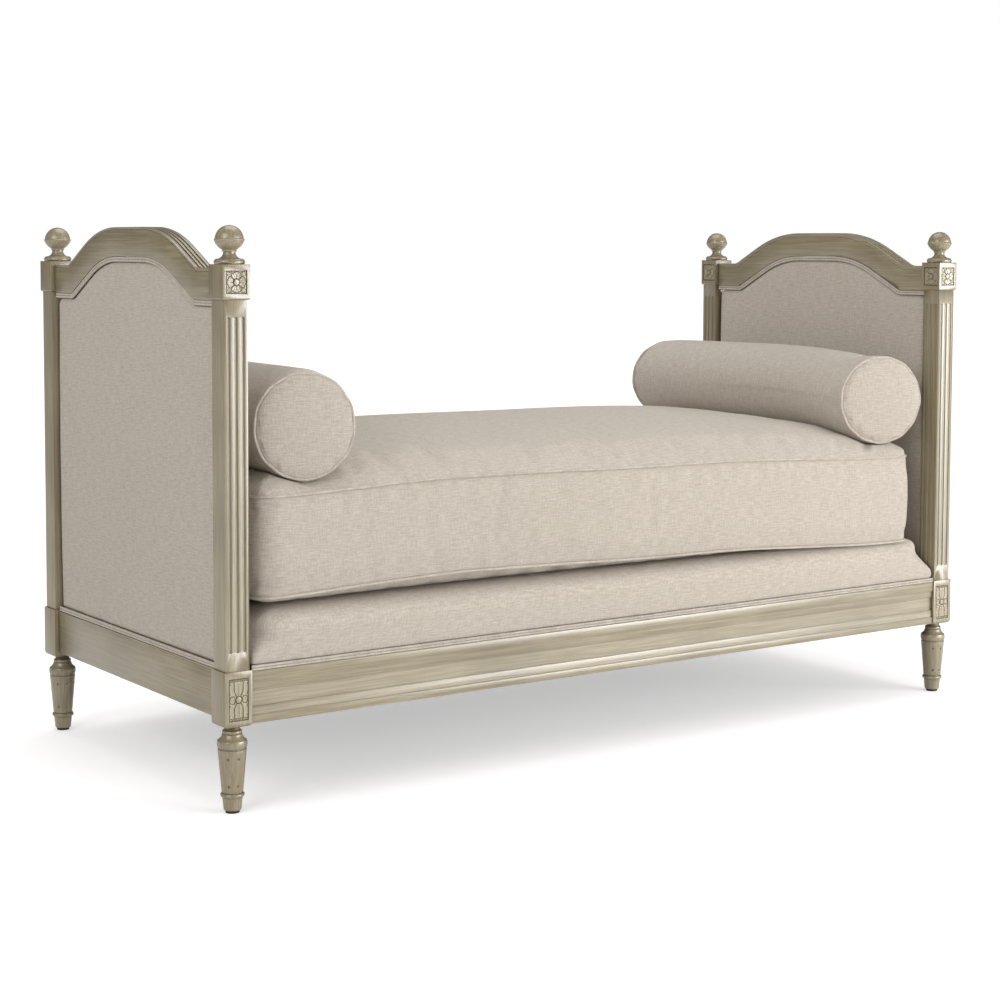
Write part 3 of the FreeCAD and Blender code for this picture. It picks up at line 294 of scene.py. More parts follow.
def fromBmesh(name, bm, material, smooth=True):
    mesh = bpy.data.meshes.new(name)
    bm.to_mesh(mesh)
    bm.free()
    for face in mesh.polygons:
        face.use_smooth = smooth
    return meshObject(name, mesh, material)


# Wooden nodes: the same solids, with their sharp edges eased and marked as worn

joinery = {
    "merge": 0.02 * mm,
    "flat": math.radians(0.6),
    "sharp": math.radians(32),
    "smooth": math.radians(34),
}


def eased(node, name, material, slot, ease, carve=None):
    source = nodes[node].data
    bm = bmesh.new()
    bm.from_mesh(source)
    bmesh.ops.remove_doubles(bm, verts=bm.verts, dist=joinery["merge"])
    bmesh.ops.dissolve_limit(bm, angle_limit=joinery["flat"], verts=bm.verts, edges=bm.edges)
    worn = bm.faces.layers.float.new("worn")
    if ease:
        sharp = [edge for edge in bm.edges if len(edge.link_faces) == 2 and edge.is_convex
                 and edge.calc_face_angle() > joinery["sharp"]]
        strips = bmesh.ops.bevel(bm, geom=sharp, offset=ease, segments=2, profile=0.5, affect="EDGES",
                                 clamp_overlap=True)
        for face in strips["faces"]:
            face[worn] = 1.0
    if carve:
        carve(bm)
    bmesh.ops.triangulate(bm, faces=[face for face in bm.faces if len(face.verts) > 4])
    piece = fromBmesh(name, bm, material)
    piece.data.set_sharp_from_angle(angle=joinery["smooth"])
    finish(piece, name, "frame", slot, node)
    return piece


# Carving: reliefs in the sunk squares and oblongs of the posts' blocks, all sizes in millimetres

carving = {
    "step": 0.55,
    "depth": 3.0,  # of the sunk panels
    "block": 30.0,
    "post": (1000.0, 425.5),
    "upper": {"z": 1057.75, "half": (23.0, 23.0)},
    "lower": {"z": 232.0, "half": (21.5, 42.5)},
}


def soft01(value, width):  # 0 to 1 over a width
    return eased01(value / width)


def boss(r, radius, height):  # a low dome in a ring groove
    dome = height - 0.5 + 0.5 * math.sqrt(max(0.0, 1 - (r / radius) ** 2))
    return dome * soft01(radius + 0.3 - r, 0.6), soft01(r - radius - 1.0, 0.9)


def pits(u, v, places, radius, depth):
    return sum(depth * (1 - soft01(math.hypot(u - x, v - y) - radius * 0.4, radius * 0.7)) for x, y in places)


def groove(distance, width, depth):
    return depth * math.exp(-(distance / width) ** 2)


def upperRelief(u, v):  # a four-petalled flower with leaves in the corners
    r = math.hypot(u, v)
    turn = math.atan2(v, u)
    off = turn - round(turn / (math.pi / 2)) * math.pi / 2
    share = abs(off) / (math.pi / 4)
    reach = 20.2 * (1 - 0.27 * share ** 3.5) * (1 + 0.030 * math.cos(11 * off))
    height = 2.2
    if r < reach:
        height = 1.7 + 0.9 * (r / reach) ** 2.5
        height += 0.18 * math.cos(off * 22) * soft01(r - 9, 4)
        height -= groove(r * math.sin(off), 0.6, 0.8) * soft01(17 - r, 4)
        height -= groove(r * math.sin(math.pi / 4 - abs(off)), 0.75, 2.0)
    height -= groove(r - reach, 0.65, 1.7)
    along45 = (abs(u) + abs(v)) / math.sqrt(2)
    across45 = abs(abs(u) - abs(v)) / math.sqrt(2)
    inLeaf = (along45 - 16.5) / 14.0
    if 0 < inLeaf < 1:
        width = 3.8 * math.sin(math.pi * inLeaf) ** 0.7
        height -= groove(across45 - width, 0.5, 1.0) + groove(across45, 0.45, 0.6)
    dome, ring = boss(r, 5.8, 3.1)
    dots = [(x, way * 19.6) for way in (-1, 1) for x in (-17.6, -14.2, -10.8, 10.8, 14.2, 17.6)]
    height = height * ring - pits(u, v, dots, 0.8, 1.5)
    moat = soft01(21.7 - max(abs(u), abs(v)), 0.5)
    return max(0.06, height * moat, dome)


def lowerRelief(u, v):  # long leaves above and below a boss, small beside it
    a, b = abs(u), abs(v)
    r = math.hypot(u, v)
    height = 2.3
    if b > 6:
        width = 9.8 * min(1.0, (b - 5) / 13) ** 0.55 + 0.55 * math.cos(b * 0.75 + (1.2 if u > 0 else 0))
        if b < 37.5:
            height -= groove(a - width, 0.75, 1.9)
            height -= groove(a, 0.55, 0.7) * soft01(34 - b, 4)
            height += 0.35 * (min(a, width) / width) ** 2 - 0.2 if a < width else 0.0
            height -= groove(a - 15.6, 0.5, 0.6) * soft01(b - 12, 3) * soft01(34 - b, 3)
    curl = math.hypot((a - 14.2) / 5.9, b / 7.6)
    height -= groove((curl - 1) * 6.4, 0.6, 1.7) + groove(math.hypot(a - 15.5, b) - 2.6, 0.5, 0.7)
    for lean in (0.62, 0.95):
        rib = groove(b * math.cos(lean) - a * math.sin(lean), 0.5, 1.2)
        height -= rib * soft01(r - 6, 1) * soft01(15 - r, 2)
    height -= groove(b - 37.4 - 0.7 * math.cos(a * 2 * math.pi / 7.0), 0.6, 1.7)
    dome, ring = boss(r, 5.8, 3.1)
    dots = [(3.5 * k, way * 39.7) for way in (-1, 1) for k in range(-5, 6)]
    dots += [(way * 18.9, up * z) for way in (-1, 1) for up in (-1, 1) for z in (10.5, 13.5, 31.5)]
    near = [dot for dot in dots if abs(dot[0] - u) < 2 and abs(dot[1] - v) < 2]
    height = height * ring - pits(u, v, near, 0.9, 1.9)
    moat = soft01(20.6 - a, 0.5) * soft01(41.6 - b, 0.5)
    return max(0.06, height * moat, dome)


def carveField(bm, place, out, half, relief):
    step = carving["step"]
    sunk = bm.verts.layers.float.get("sunk") or bm.verts.layers.float.new("sunk")
    worn = bm.faces.layers.float.get("worn")
    up = Vector((0, 0, 1))
    right = up.cross(out)
    countU, countV = round(2 * half[0] / step), round(2 * half[1] / step)
    grid = []
    for v in steps(-half[1], half[1], countV):
        row = []
        for u in steps(-half[0], half[0], countU):
            height = relief(u, v)
            vert = bm.verts.new((place + right * u + up * v + out * height) * mm)
            # painted shade: the deeper the relief here, the darker the glaze the material puts on it
            vert[sunk] = 1 - min(1.0, height / 1.7)
            row.append(vert)
        grid.append(row)
    for low, high in zip(grid, grid[1:]):
        for a, b, c, d in zip(low, low[1:], high[1:], high):
            face = bm.faces.new([a, b, c, d])
            face[worn] = 0.6 if max(a[sunk], c[sunk]) <= 0.02 else 0.0


def postCarver(wayX, wayY):
    def carve(bm):
        centre = Vector((wayX * carving["post"][0], wayY * carving["post"][1], 0))
        inwards = carving["block"] - carving["depth"]
        for out in (Vector((0, wayY, 0)), Vector((-wayX, 0, 0))):
            place = centre + out * inwards + Vector((0, 0, carving["upper"]["z"]))
            carveField(bm, place, out, carving["upper"]["half"], upperRelief)
        out = Vector((0, wayY, 0))
        place = centre + out * inwards + Vector((0, 0, carving["lower"]["z"]))
        carveField(bm, place, out, carving["lower"]["half"], lowerRelief)
    return carve


for end in ("left", "right"):
    for side in ("front", "back"):
        corner = f"{side}_{end}"
        carver = postCarver(-1 if end == "left" else 1, -1 if side == "front" else 1)
        eased(f"{corner}_post", f"{side}{end.title()}Post", woodAlong["z"], "painted_wood", 1.2 * mm, carver)
        eased(f"{corner}_finial", f"{side}{end.title()}Finial", woodAlong["y"], "painted_wood", 0.4 * mm)
        eased(f"{corner}_foot", f"{side}{end.title()}Foot", woodAlong["z"], "painted_wood", 0.4 * mm)
    eased(f"{end}_crest_rail", f"{end}CrestRail", woodAlong["y"], "painted_wood", 0.8 * mm)
    eased(f"{end}_end_rail", f"{end}EndRail", woodAlong["y"], "painted_wood", 1.2 * mm)
for side in ("front", "back"):
    eased(f"{side}_rail", f"{side}Rail", woodAlong["x"], "painted_wood", 1.0 * mm)
print("stage: painted wood eased")

plainNodes = {
    "foot_glides": darkGlide, "corner_screws": zinc, "cleat_screws": zinc, "dust_cover": dustCloth,
    "deck_slats": bareAlong["y"], "front_cleat": bareAlong["x"], "back_cleat": bareAlong["x"],
    "centre_beam": bareAlong["x"], "corner_blocks": bareAlong["z"],
    "left_panel_board": bareAlong["z"], "right_panel_board": bareAlong["z"],
}
for node, material in plainNodes.items():
    nodes[node].data.materials.clear()
    nodes[node].data.materials.append(material)
    for slot in nodes[node].material_slots:
        slot.material = material


# Cloth patches: grids of points that share their edges, with a map in metres

class Cloth:
    def __init__(self):
        self.bm = bmesh.new()
        self.uv = self.bm.loops.layers.uv.new("cloth")

    def patch(self, rows, uvs, closed=False):  # rows of points, and the map's point for each
        made = [[self.bm.verts.new(point) for point in row] for row in rows]
        for r in range(len(rows) - 1):
            count = len(rows[r])
            for c in range(count if closed else count - 1):
                d = (c + 1) % count
                around = ((r, c, c), (r, d, c + 1), (r + 1, d, c + 1), (r + 1, c, c))
                face = self.bm.faces.new([made[row][column] for row, column, mapped in around])
                for loop, (row, column, mapped) in zip(face.loops, around):
                    loop[self.uv].uv = uvs[row][mapped]
        return made

    def fan(self, ring, middle, uvs, middleUv):  # closes a ring of points on its middle
        hub = self.bm.verts.new(middle)
        for c in range(len(ring)):
            d = (c + 1) % len(ring)
            face = self.bm.faces.new([ring[c], ring[d], hub])
            for loop, place in zip(face.loops, (uvs[c], uvs[d], middleUv)):
                loop[self.uv].uv = place

    def close(self, name):
        bmesh.ops.remove_doubles(self.bm, verts=self.bm.verts, dist=0.01 * mm)
        bmesh.ops.recalc_face_normals(self.bm, faces=self.bm.faces)
        return fromBmesh(name, self.bm, linenCloth)


# Cords: a cord swept along a path of points by geometry nodes

def shapeTree(name, output, *inputs):  # a node group and a wire from each input
    tree = bpy.data.node_groups.new(name, "GeometryNodeTree")
    for title, kind, start in inputs:
        made = tree.interface.new_socket(title, in_out="INPUT", socket_type="NodeSocket" + kind)
        if start is not None:
            made.default_value = start
    tree.interface.new_socket(output, in_out="OUTPUT", socket_type="NodeSocketGeometry")
    graph = Graph(tree)
    given = tree.nodes.new("NodeGroupInput")
    return graph, [Wire(graph, given.outputs[title]) for title, kind, start in inputs]


def cordTree():
    graph, (path, radius, spacing, sides, cloth) = shapeTree(
        "cordAlongPath", "Cord", ("Path", "Geometry", None), ("Radius", "Float", 0.0027),
        ("Spacing", "Float", 0.006), ("Sides", "Int", 10), ("Cloth", "Material", None))
    line = graph.node("GeometryNodeMeshToCurve", None, {"Mesh": path})
    evened = graph.node("GeometryNodeResampleCurve", {"mode": "LENGTH"},
                        {"Curve": line, "Length": spacing})
    ring = graph.node("GeometryNodeCurvePrimitiveCircle", None, {"Resolution": sides, "Radius": radius})
    tube = graph.node("GeometryNodeCurveToMesh", None,
                      {"Curve": evened, "Profile Curve": ring, "Fill Caps": True})
    soft = graph.node("GeometryNodeSetShadeSmooth", None, {0: tube})
    dressed = graph.node("GeometryNodeSetMaterial", None, {"Geometry": soft, "Material": cloth})
    whole = graph.node("GeometryNodeRealizeInstances", None, {0: dressed})
    graph.node("NodeGroupOutput", None, {0: whole})
    return graph.tree


def byTree(name, mesh, tree, inputs, material):
    # runs a tree on a mesh and keeps what it makes as a plain mesh
    piece = meshObject(name, mesh, material)
    modifier = piece.modifiers.new("made", "NODES")
    modifier.node_group = tree
    for item in tree.interface.items_tree:
        if item.in_out == "INPUT" and item.name in inputs:
            modifier[item.identifier] = inputs[item.name]
    made = settledMesh(piece)
    piece.modifiers.clear()
    piece.data = made
    made.name = name
    return piece


cordPaths = cordTree()


def cordPiece(name, paths, radius, closed=False):
    verts = []
    edges = []
    for path in paths:
        first = len(verts)
        verts += [tuple(point) for point in path]
        edges += [(i, i + 1) for i in range(first, len(verts) - 1)]
        if closed:
            edges.append((len(verts) - 1, first))
    mesh = bpy.data.meshes.new(name)
    mesh.from_pydata(verts, edges, [])
    return byTree(name, mesh, cordPaths, {"Radius": radius, "Cloth": linenCord}, linenCord)


# The arch that the crest rails and the panels share

arch = {
    "level": 1021 * mm,
    "corner": 305 * mm,
    "rise": 84.5 * mm,
    "slope": math.radians(27),
    "radius": 300 * mm,
}
roundDrop = arch["radius"] * (1 - math.cos(arch["slope"]))
arch["crown"] = (arch["corner"] - (arch["rise"] - roundDrop) / math.tan(arch["slope"])
                 - arch["radius"] * math.sin(arch["slope"]))


def archHeight(y, lift=0.0):  # the arch's height over a place across the end
    y = abs(y)
    radius = arch["radius"] + lift
    centre = arch["level"] + arch["rise"] - arch["radius"]
    corner = arch["corner"] + lift * math.tan(arch["slope"] / 2)
    turn = arch["crown"] + radius * math.sin(arch["slope"])
    if y <= arch["crown"]:
        return centre + radius
    if y <= turn:
        return centre + math.sqrt(radius * radius - (y - arch["crown"]) ** 2)
    if y <= corner:
        return arch["level"] + lift + (corner - y) * math.tan(arch["slope"])
    return arch["level"] + lift


def archPath(x, lift, reach, step=0.008):
    count = int(2 * reach / step)
    return [(x, y, archHeight(y, lift)) for y in steps(-reach, reach, count)]


# Welts: a double cord over the tacks, wherever cloth meets painted wood

welt = {
    "radius": 2.85 * mm,
    "apart": 5.6 * mm,
    "out": 16.4 * mm,  # from the middle of the end's thickness
    "underArch": 3.2 * mm,
    "overRail": 2.8 * mm,
    "reach": 0.3925,
    "deckLine": 0.4503,
}


def weltPiece(name, node, paths):
    cords = cordPiece(name, paths, welt["radius"])
    finish(cords, cords.name, "frame", "piping_linen", node)


def straightWelt(name, node, start, end):  # two rows over a rail, from start to end
    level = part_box(node)[0][2] + welt["overRail"]
    paths = [[(*point, level + row * welt["apart"]) for point in (start, end)] for row in (0, 1)]
    weltPiece(name, node, paths)


for end, way in (("left", -1), ("right", 1)):
    for face, sign in (("outer", 1), ("inner", -1)):
        x = way * (1.0 + sign * welt["out"])
        paths = [archPath(x, -welt["underArch"] - row * welt["apart"], welt["reach"]) for row in (0, 1)]
        weltPiece(f"{end}{face.title()}CrestWelt", f"{end}_{face}_crest_welt", paths)
    low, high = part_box(f"{end}_outer_rail_welt")
    x = way * (1.0 + welt["out"])
    straightWelt(f"{end}OuterRailWelt", f"{end}_outer_rail_welt", (x, low[1]), (x, high[1]))
for side, way in (("front", -1), ("back", 1)):
    low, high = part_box(f"{side}_deck_welt")
    y = way * welt["deckLine"]
    straightWelt(f"{side}DeckWelt", f"{side}_deck_welt", (low[0], y), (high[0], y))
print("stage: welts laid")


# End panels: padding under stretched linen, crowned, rolled at the edges

panelFace = {
    "outer": {"start": 1004.3 * mm, "edge": 9.0 * mm, "crown": 5.5 * mm, "bottom": 293.8 * mm,
              "roll": 13 * mm},
    "inner": {"start": 995.7 * mm, "edge": 7.6 * mm, "crown": 12 * mm, "bottom": 284.6 * mm,
              "roll": 15 * mm},
    "middle": 0.695,  # height where the crown is fullest
    "reach": 392.6 * mm,
    "lift": -8.6 * mm,
    "corner": 26 * mm,
    "columns": 110,
    "rows": 110,
}


def panelTop(y):  # the panel's top edge, turned down by the posts
    reach = panelFace["reach"]
    corner = panelFace["corner"]
    near = abs(y) - (reach - corner)
    drop = corner - math.sqrt(max(0.0, corner * corner - near * near)) if near > 0 else 0.0
    return archHeight(y, panelFace["lift"]) - min(drop, corner * 0.98)


def endPanel(end, way, face, sign):
    shape = panelFace[face]
    reach = panelFace["reach"]
    cloth = Cloth()
    middle = panelFace["middle"]
    far = math.hypot(reach, middle - shape["bottom"])
    seed = way * 3.7 + sign * 11.3
    rows = []
    uvs = []
    columns = [reach * math.sin(math.pi / 2 * value) for value in steps(-1, 1, panelFace["columns"])]
    for v in steps(0, 1, panelFace["rows"]):
        share = (1 - math.cos(math.pi * v)) / 2 * 0.6 + v * 0.4
        row = []
        uvRow = []
        for y in columns:
            top = panelTop(y)
            z = shape["bottom"] + (top - shape["bottom"]) * share
            inwards = min(reach - abs(y), z - shape["bottom"], (top - z) * 0.94)
            roll = math.sqrt(max(0.0, 1 - (1 - min(1.0, inwards / shape["roll"])) ** 2))
            dome = 1 - min(1.0, (math.hypot(y, z - middle) / far) ** 2)
            soft = noise.noise(Vector((y * 9, z * 9, seed))) * 0.9 * mm
            pull = noise.noise(Vector((y * 60, z * 14, seed + 5))) * 0.5 * mm * math.exp(-inwards / 0.05)
            out = shape["edge"] * roll + (shape["crown"] * dome + soft + pull) * roll
            row.append((way * (shape["start"] + sign * out), y, z))
            uvRow.append((y, z))
        rows.append(row)
        uvs.append(uvRow)
    cloth.patch(rows, uvs)
    return cloth.close(f"{end}{face.title()}Panel")


for end, way in (("left", -1), ("right", 1)):
    for face, sign in (("outer", 1), ("inner", -1)):
        panel = endPanel(end, way, face, sign)
        finish(panel, panel.name, "frame", "linen", f"{end}_{face}_cover", f"{end}_{face}_pad")
print("stage: end panels stretched")


# Soft pieces: blown up a little between their seams, so that the cloth puckers there

def seamKeys(points):
    return {tuple(round(value, 4) for value in point) for point in points}


def nearKeys(point, keys):
    return tuple(round(value, 4) for value in point) in keys


def blown(piece, pinned, pressure, cap, spare):
    # pinned: the seam points that stay; cap: how far a point may move; spare: cloth cut over size
    held = piece.vertex_groups.new(name="held")
    held.add([v.index for v in piece.data.vertices if nearKeys(v.co, pinned)], 1.0, "REPLACE")
    before = [v.co.copy() for v in piece.data.vertices]
    modifier = piece.modifiers.new("cloth", "CLOTH")
    cloth = modifier.settings
    cloth.quality = 6
    cloth.mass = 0.25
    cloth.tension_stiffness = 22
    cloth.compression_stiffness = 22
    cloth.shear_stiffness = 10
    cloth.bending_stiffness = 1.2
    cloth.use_pressure = True
    cloth.uniform_pressure_force = pressure
    cloth.shrink_min = -spare
    cloth.vertex_group_mass = "held"
    cloth.effector_weights.gravity = 0
    modifier.collision_settings.use_collision = False
    modifier.collision_settings.use_self_collision = False
    modifier.point_cache.frame_start = 1
    modifier.point_cache.frame_end = 20
    for step in range(1, 21):
        bpy.context.scene.frame_set(step)
    settled = piece.evaluated_get(bpy.context.evaluated_depsgraph_get())
    after = [v.co.copy() for v in settled.data.vertices]
    piece.modifiers.clear()
    piece.vertex_groups.clear()
    for vertex, old, new in zip(piece.data.vertices, before, after):
        moved = new - old
        if moved.length > cap:
            moved *= cap / moved.length
        vertex.co = old + moved
    bpy.context.scene.frame_set(1)


def finer(piece):
    modifier = piece.modifiers.new("finer", "SUBSURF")
    modifier.levels = modifier.render_levels = 1
    made = settledMesh(piece)
    piece.modifiers.clear()
    made.name = piece.name
    piece.data = made


def roundPlan(u, v, halfX, halfY, corner):  # a square's point moved to a round-cornered rectangle
    x = abs(u) * halfX
    y = abs(v) * halfY
    a = (x - halfX + corner) / corner
    b = (y - halfY + corner) / corner
    if a > 0 and b > 0:
        x = halfX - corner + corner * a * math.sqrt(1 - b * b / 2)
        y = halfY - corner + corner * b * math.sqrt(1 - a * a / 2)
    return math.copysign(x, u), math.copysign(y, v)


def flatMap(rows):
    return [[(x, y) for x, y, z in row] for row in rows]


def spaced(count, crowding):  # from -1 to 1, closer together towards the ends
    return [(1 - crowding) * s + crowding * math.sin(math.pi * s / 2) for s in steps(-1, 1, count)]


def border(us, vs):  # the grid's edge, once round
    around = [(u, -1) for u in us[:-1]] + [(1, v) for v in vs[:-1]]
    return around + [(u, 1) for u in us[:0:-1]] + [(-1, v) for v in vs[:0:-1]]


def softMin(a, b, blend):
    return (a + b - math.sqrt((a - b) ** 2 + blend * blend)) / 2


def along(knots, x):  # an easy curve through (place, value) knots
    if x <= knots[0][0]:
        return knots[0][1]
    for (x0, y0), (x1, y1) in zip(knots, knots[1:]):
        if x <= x1:
            return y0 + (y1 - y0) * eased01((x - x0) / (x1 - x0))
    return knots[-1][1]


# Deck: a firm upholstered platform, its shoulders drawn down and its cloth folded in above the welts

deck = {
    "halfLength": 968 * mm,
    "halfDepth": 450.4 * mm,
    "corner": 105 * mm,
    "shoulder": 360 * mm,
    "rise": 41.9 * mm,
    "drawnEnds": 88 * mm,
    "drawnSides": 58 * mm,
    "tucked": 30 * mm,
    "columns": 120,
    "rows": 62,
}


def deckHeight(x, y):
    ends = min(1.4, max(0.0, (deck["halfLength"] - abs(x)) / deck["drawnEnds"]))
    sides = min(1.4, max(0.0, (deck["halfDepth"] - abs(y)) / deck["drawnSides"]))
    drawn = max(0.0, min(1.0, softMin(ends, sides, 0.25 * ends * sides)))
    return deck["shoulder"] + deck["rise"] * math.sqrt(1 - (1 - drawn) ** 2)


def deckCover():
    cloth = Cloth()
    us = spaced(deck["columns"], 0.55)
    vs = spaced(deck["rows"], 0.55)
    rows = []
    for v in vs:
        row = []
        for u in us:
            x, y = roundPlan(u, v, deck["halfLength"], deck["halfDepth"], deck["corner"])
            lie = noise.noise(Vector((x * 5, y * 5, 2.0))) * 0.8 * mm
            edge = min(1.0, (1 - max(abs(u), abs(v))) * 12)
            height = deckHeight(u * deck["halfLength"], v * deck["halfDepth"])
            row.append((x, y, height + (lie - 1.0 * mm) * edge))
        rows.append(row)
    cloth.patch(rows, flatMap(rows))
    around = border(us, vs)
    levels = [  # height, how far out, corner, how much it puckers
        (360, 0, 105, 0), (354, 0.9, 96, 0.3), (347, 1.8, 84, 0.5), (339, 2.7, 66, 0.6),
        (330, 3.5, 45, 0.7), (321, 3.9, 22, 0.8), (313, 3.7, 13, 1.0), (306, 2.8, 11, 1.2),
        (301, 1.4, 10, 1.2), (297.6, -0.8, 8, 1.0), (296.7, -3.4, 7, 0.6), (296.4, -7.4, 6, 0),
        (291, -7.4, 6, 0), (285.2, -7.4, 6, 0), (285.2, -30, 6, 0),
    ]
    rings = []
    maps = []
    for level, out, corner, pucker in levels:
        z = level * mm
        ring = []
        ringMap = []
        run = 0.0
        last = None
        for u, v in around + around[:1]:
            grow = out * mm
            x, y = roundPlan(u, v, deck["halfLength"] + min(grow, 0.0), deck["halfDepth"] + grow, corner * mm)
            if last:
                run += math.hypot(x - last[0], y - last[1])
            last = (x, y)
            fold = noise.noise(Vector((x * 26, y * 26, z * 9)))
            fold += 0.6 * noise.noise(Vector((x * 70, y * 70, z * 22)))
            push = 1 + fold * pucker * 1.5 * mm / deck["halfDepth"]
            ring.append((x, y * push if abs(v) == 1 else y, z))
            ringMap.append((run, z))
        rings.append(ring[:-1])
        maps.append(ringMap)
    cloth.patch(rings, maps, closed=True)
    inX, inY = deck["halfLength"] - deck["tucked"], deck["halfDepth"] - deck["tucked"]
    under = [[(*roundPlan(u, v, inX, inY, 6 * mm), 285.2 * mm) for u in us] for v in vs]
    cloth.patch(under, flatMap(under))
    return cloth.close("deckCover")


deckPiece = deckCover()
finer(deckPiece)
finish(deckPiece, "deckCover", "frame", "linen", "deck_cover", "deck_foam")
print("stage: deck covered")


# Bolsters: soft barrels with piped, slightly domed ends that turn a little to one side and droop in front

bolster = {
    "x": 820 * mm,
    "z": 763 * mm,
    "halfLength": 405 * mm,
    "rim": 106 * mm,
    "girth": 111 * mm,
    "dome": 9 * mm,
    "around": 104,
    "along": 60,
    "rings": 14,
    "piping": 3.3 * mm,
    "most": 112.2 * mm,  # the hollow in the mattress is a little larger
    -1: {"seed": 3.1, "frontTurn": 8, "backTurn": 8, "dent": 0.5 * mm, "droop": 0.0, "top": 1.055},
    1: {"seed": 8.7, "frontTurn": 15, "backTurn": 19, "dent": 4.0 * mm, "droop": 11 * mm, "top": 0.965},
}


def bolsterDroop(way, y):  # how far the axis lies below its middle
    front = bolster[way]["droop"] * eased01((-y - 120 * mm) / (285 * mm))
    return front + 1 * mm * eased01((y - 200 * mm) / (200 * mm))


def bolsterAxis(way, y):
    return bolster["z"] - bolsterDroop(way, y)


def bolsterPiece(name, way):
    cloth = Cloth()
    own = bolster[way]
    count = bolster["around"]
    middleX = way * bolster["x"]
    seed = own["seed"]

    def rimRadius(turn, side):
        broad = noise.noise(Vector((math.cos(turn) * 1.7, math.sin(turn) * 1.7, seed + side * 4)))
        scallops = math.sin(13 * turn + seed) * (0.6 + 0.5 * noise.noise(Vector((turn, seed, side))))
        return bolster["rim"] + broad * 2.2 * mm + scallops * 0.9 * mm

    def spot(turn, y, radius):  # the ends lean, so a ring's sides lie further out or in
        lean = own["frontTurn"] if y < 0 else own["backTurn"]
        share = (abs(y) / bolster["halfLength"]) ** 2
        side = math.cos(turn) * radius
        y -= side * math.tan(math.radians(lean)) * share
        rimShare = eased01((bolster["halfLength"] - abs(y)) / (35 * mm) + 0.25)
        top = 1 + (own["top"] - 1) * (rimShare if own["top"] > 1 else 1) if math.sin(turn) > 0 else 1.0
        z = bolsterAxis(way, y) + math.sin(turn) * radius * top
        return (middleX + math.cos(turn) * radius, y, z)
    turns = [2 * math.pi * i / count for i in range(count)]
    rows = []
    maps = []
    near = [0, 2.2 * mm, 5.5 * mm, 11 * mm]
    inner = [s * (bolster["halfLength"] - 20 * mm) for s in spaced(bolster["along"], 0.35)]
    places = ([-bolster["halfLength"] + d for d in near] + inner
              + [bolster["halfLength"] - d for d in near[::-1]])
    for y in places:
        row = []
        edge = bolster["halfLength"] - abs(y)
        for turn in turns:
            rim = rimRadius(turn, 1 if y > 0 else -1)
            full = bolster["girth"] + 1.2 * mm * (1 - (y / bolster["halfLength"]) ** 2)
            dent = own["dent"] * math.exp(-((edge - 66 * mm) / (26 * mm)) ** 2) * max(0.0, math.sin(turn))
            share = 0.55 * (1 - math.exp(-edge / (3 * mm))) + 0.45 * (1 - math.exp(-edge / (22 * mm)))
            row.append(spot(turn, y, rim + (full - rim) * share - (dent if y < 0 else 0.0)))
        rows.append(row)
        maps.append([(i * 2 * math.pi * bolster["girth"] / count, y) for i in range(count + 1)])
    cloth.patch(rows, maps, closed=True)
    for side, ring in ((-1, rows[0]), (1, rows[-1])):
        inner = []
        innerMaps = []
        for share in [1.0, 0.982, 0.955] + [math.sin(math.pi / 2 * k / bolster["rings"]) * 0.93
                                            for k in range(bolster["rings"], 0, -1)]:
            out = bolster["dome"] * (0.35 * (1 - math.exp(-(1 - share) * 60)) + 0.65 * (1 - share ** 2.4))
            ringPoints = []
            for turn in turns:
                point = spot(turn, side * bolster["halfLength"], rimRadius(turn, side) * share)
                ringPoints.append((point[0], point[1] + side * out, point[2]))
            inner.append(ringPoints)
            innerMaps.append([(math.cos(turn) * bolster["rim"] * share,
                               math.sin(turn) * bolster["rim"] * share) for turn in turns + turns[:1]])
        made = cloth.patch(inner, innerMaps, closed=True)
        hub = (middleX, side * (bolster["halfLength"] + bolster["dome"]), bolsterAxis(way, ring[0][1]))
        cloth.fan(made[-1], hub, innerMaps[-1], (0, 0))
    piece = cloth.close(name)
    blown(piece, seamKeys(rows[0] + rows[-1]), 4.5, 4 * mm, 0.03)
    for vertex in piece.data.vertices:  # stays inside the hollow that it lies in
        axis = bolsterAxis(way, vertex.co.y)
        reach = Vector((vertex.co.x - middleX, 0, vertex.co.z - axis))
        if reach.length > bolster["most"] and reach.z < 0:
            reach *= bolster["most"] / reach.length
            vertex.co.x = middleX + reach.x
            vertex.co.z = axis + reach.z
    finer(piece)
    return piece, [rows[0], rows[-1]]


for end, way in (("left", -1), ("right", 1)):
    piece, seams = bolsterPiece(f"{end}Bolster", way)
    finish(piece, piece.name, f"{end}_bolster", "linen", f"{end}_bolster_cover", f"{end}_bolster_core")
    rims = []
    for seam in seams:
        axis = Vector((way * bolster["x"], 0, bolsterAxis(way, seam[0][1])))
        rims.append([Vector(point) + Vector((point[0] - axis.x, 0, point[2] - axis.z)).normalized() * 1.9 * mm
                     for point in seam])
    cords = cordPiece(f"{end}BolsterPiping", rims, bolster["piping"], closed=True)
    finish(cords, cords.name, f"{end}_bolster", "piping_linen", f"{end}_bolster_piping")
print("stage: bolsters made")


# Mattress: boxed between two piped seams, crowned above, with a hollow under each bolster

mattress = {
    "middle": -20 * mm,
    "halfLength": 925 * mm,
    "halfDepth": 435 * mm,
    "corner": 45 * mm,
    "bottomSeam": 420 * mm,
    "topSeam": 628 * mm,
    "low": 402.5 * mm,
    "crown": 110 * mm,
    "bulge": 6.5 * mm,
    "columns": 132,
    "rows": 64,
    "sides": 17,
    "piping": 3.1 * mm,
    "pressed": 113.4 * mm,  # radius of the hollow under a bolster
    "pressedLeast": 113.2 * mm,
    "depthLimit": 0.4475,
    "zipLimit": (0.4425, 505 * mm, 543 * mm),  # behind the zip, between its heights
    "topSway": ((-925, 0), (-450, 13), (215, 4), (900, -19)),  # the front seams' rise, along the length
    "bottomSway": ((-925, 4), (-450, 17), (215, 2), (900, -24)),
}


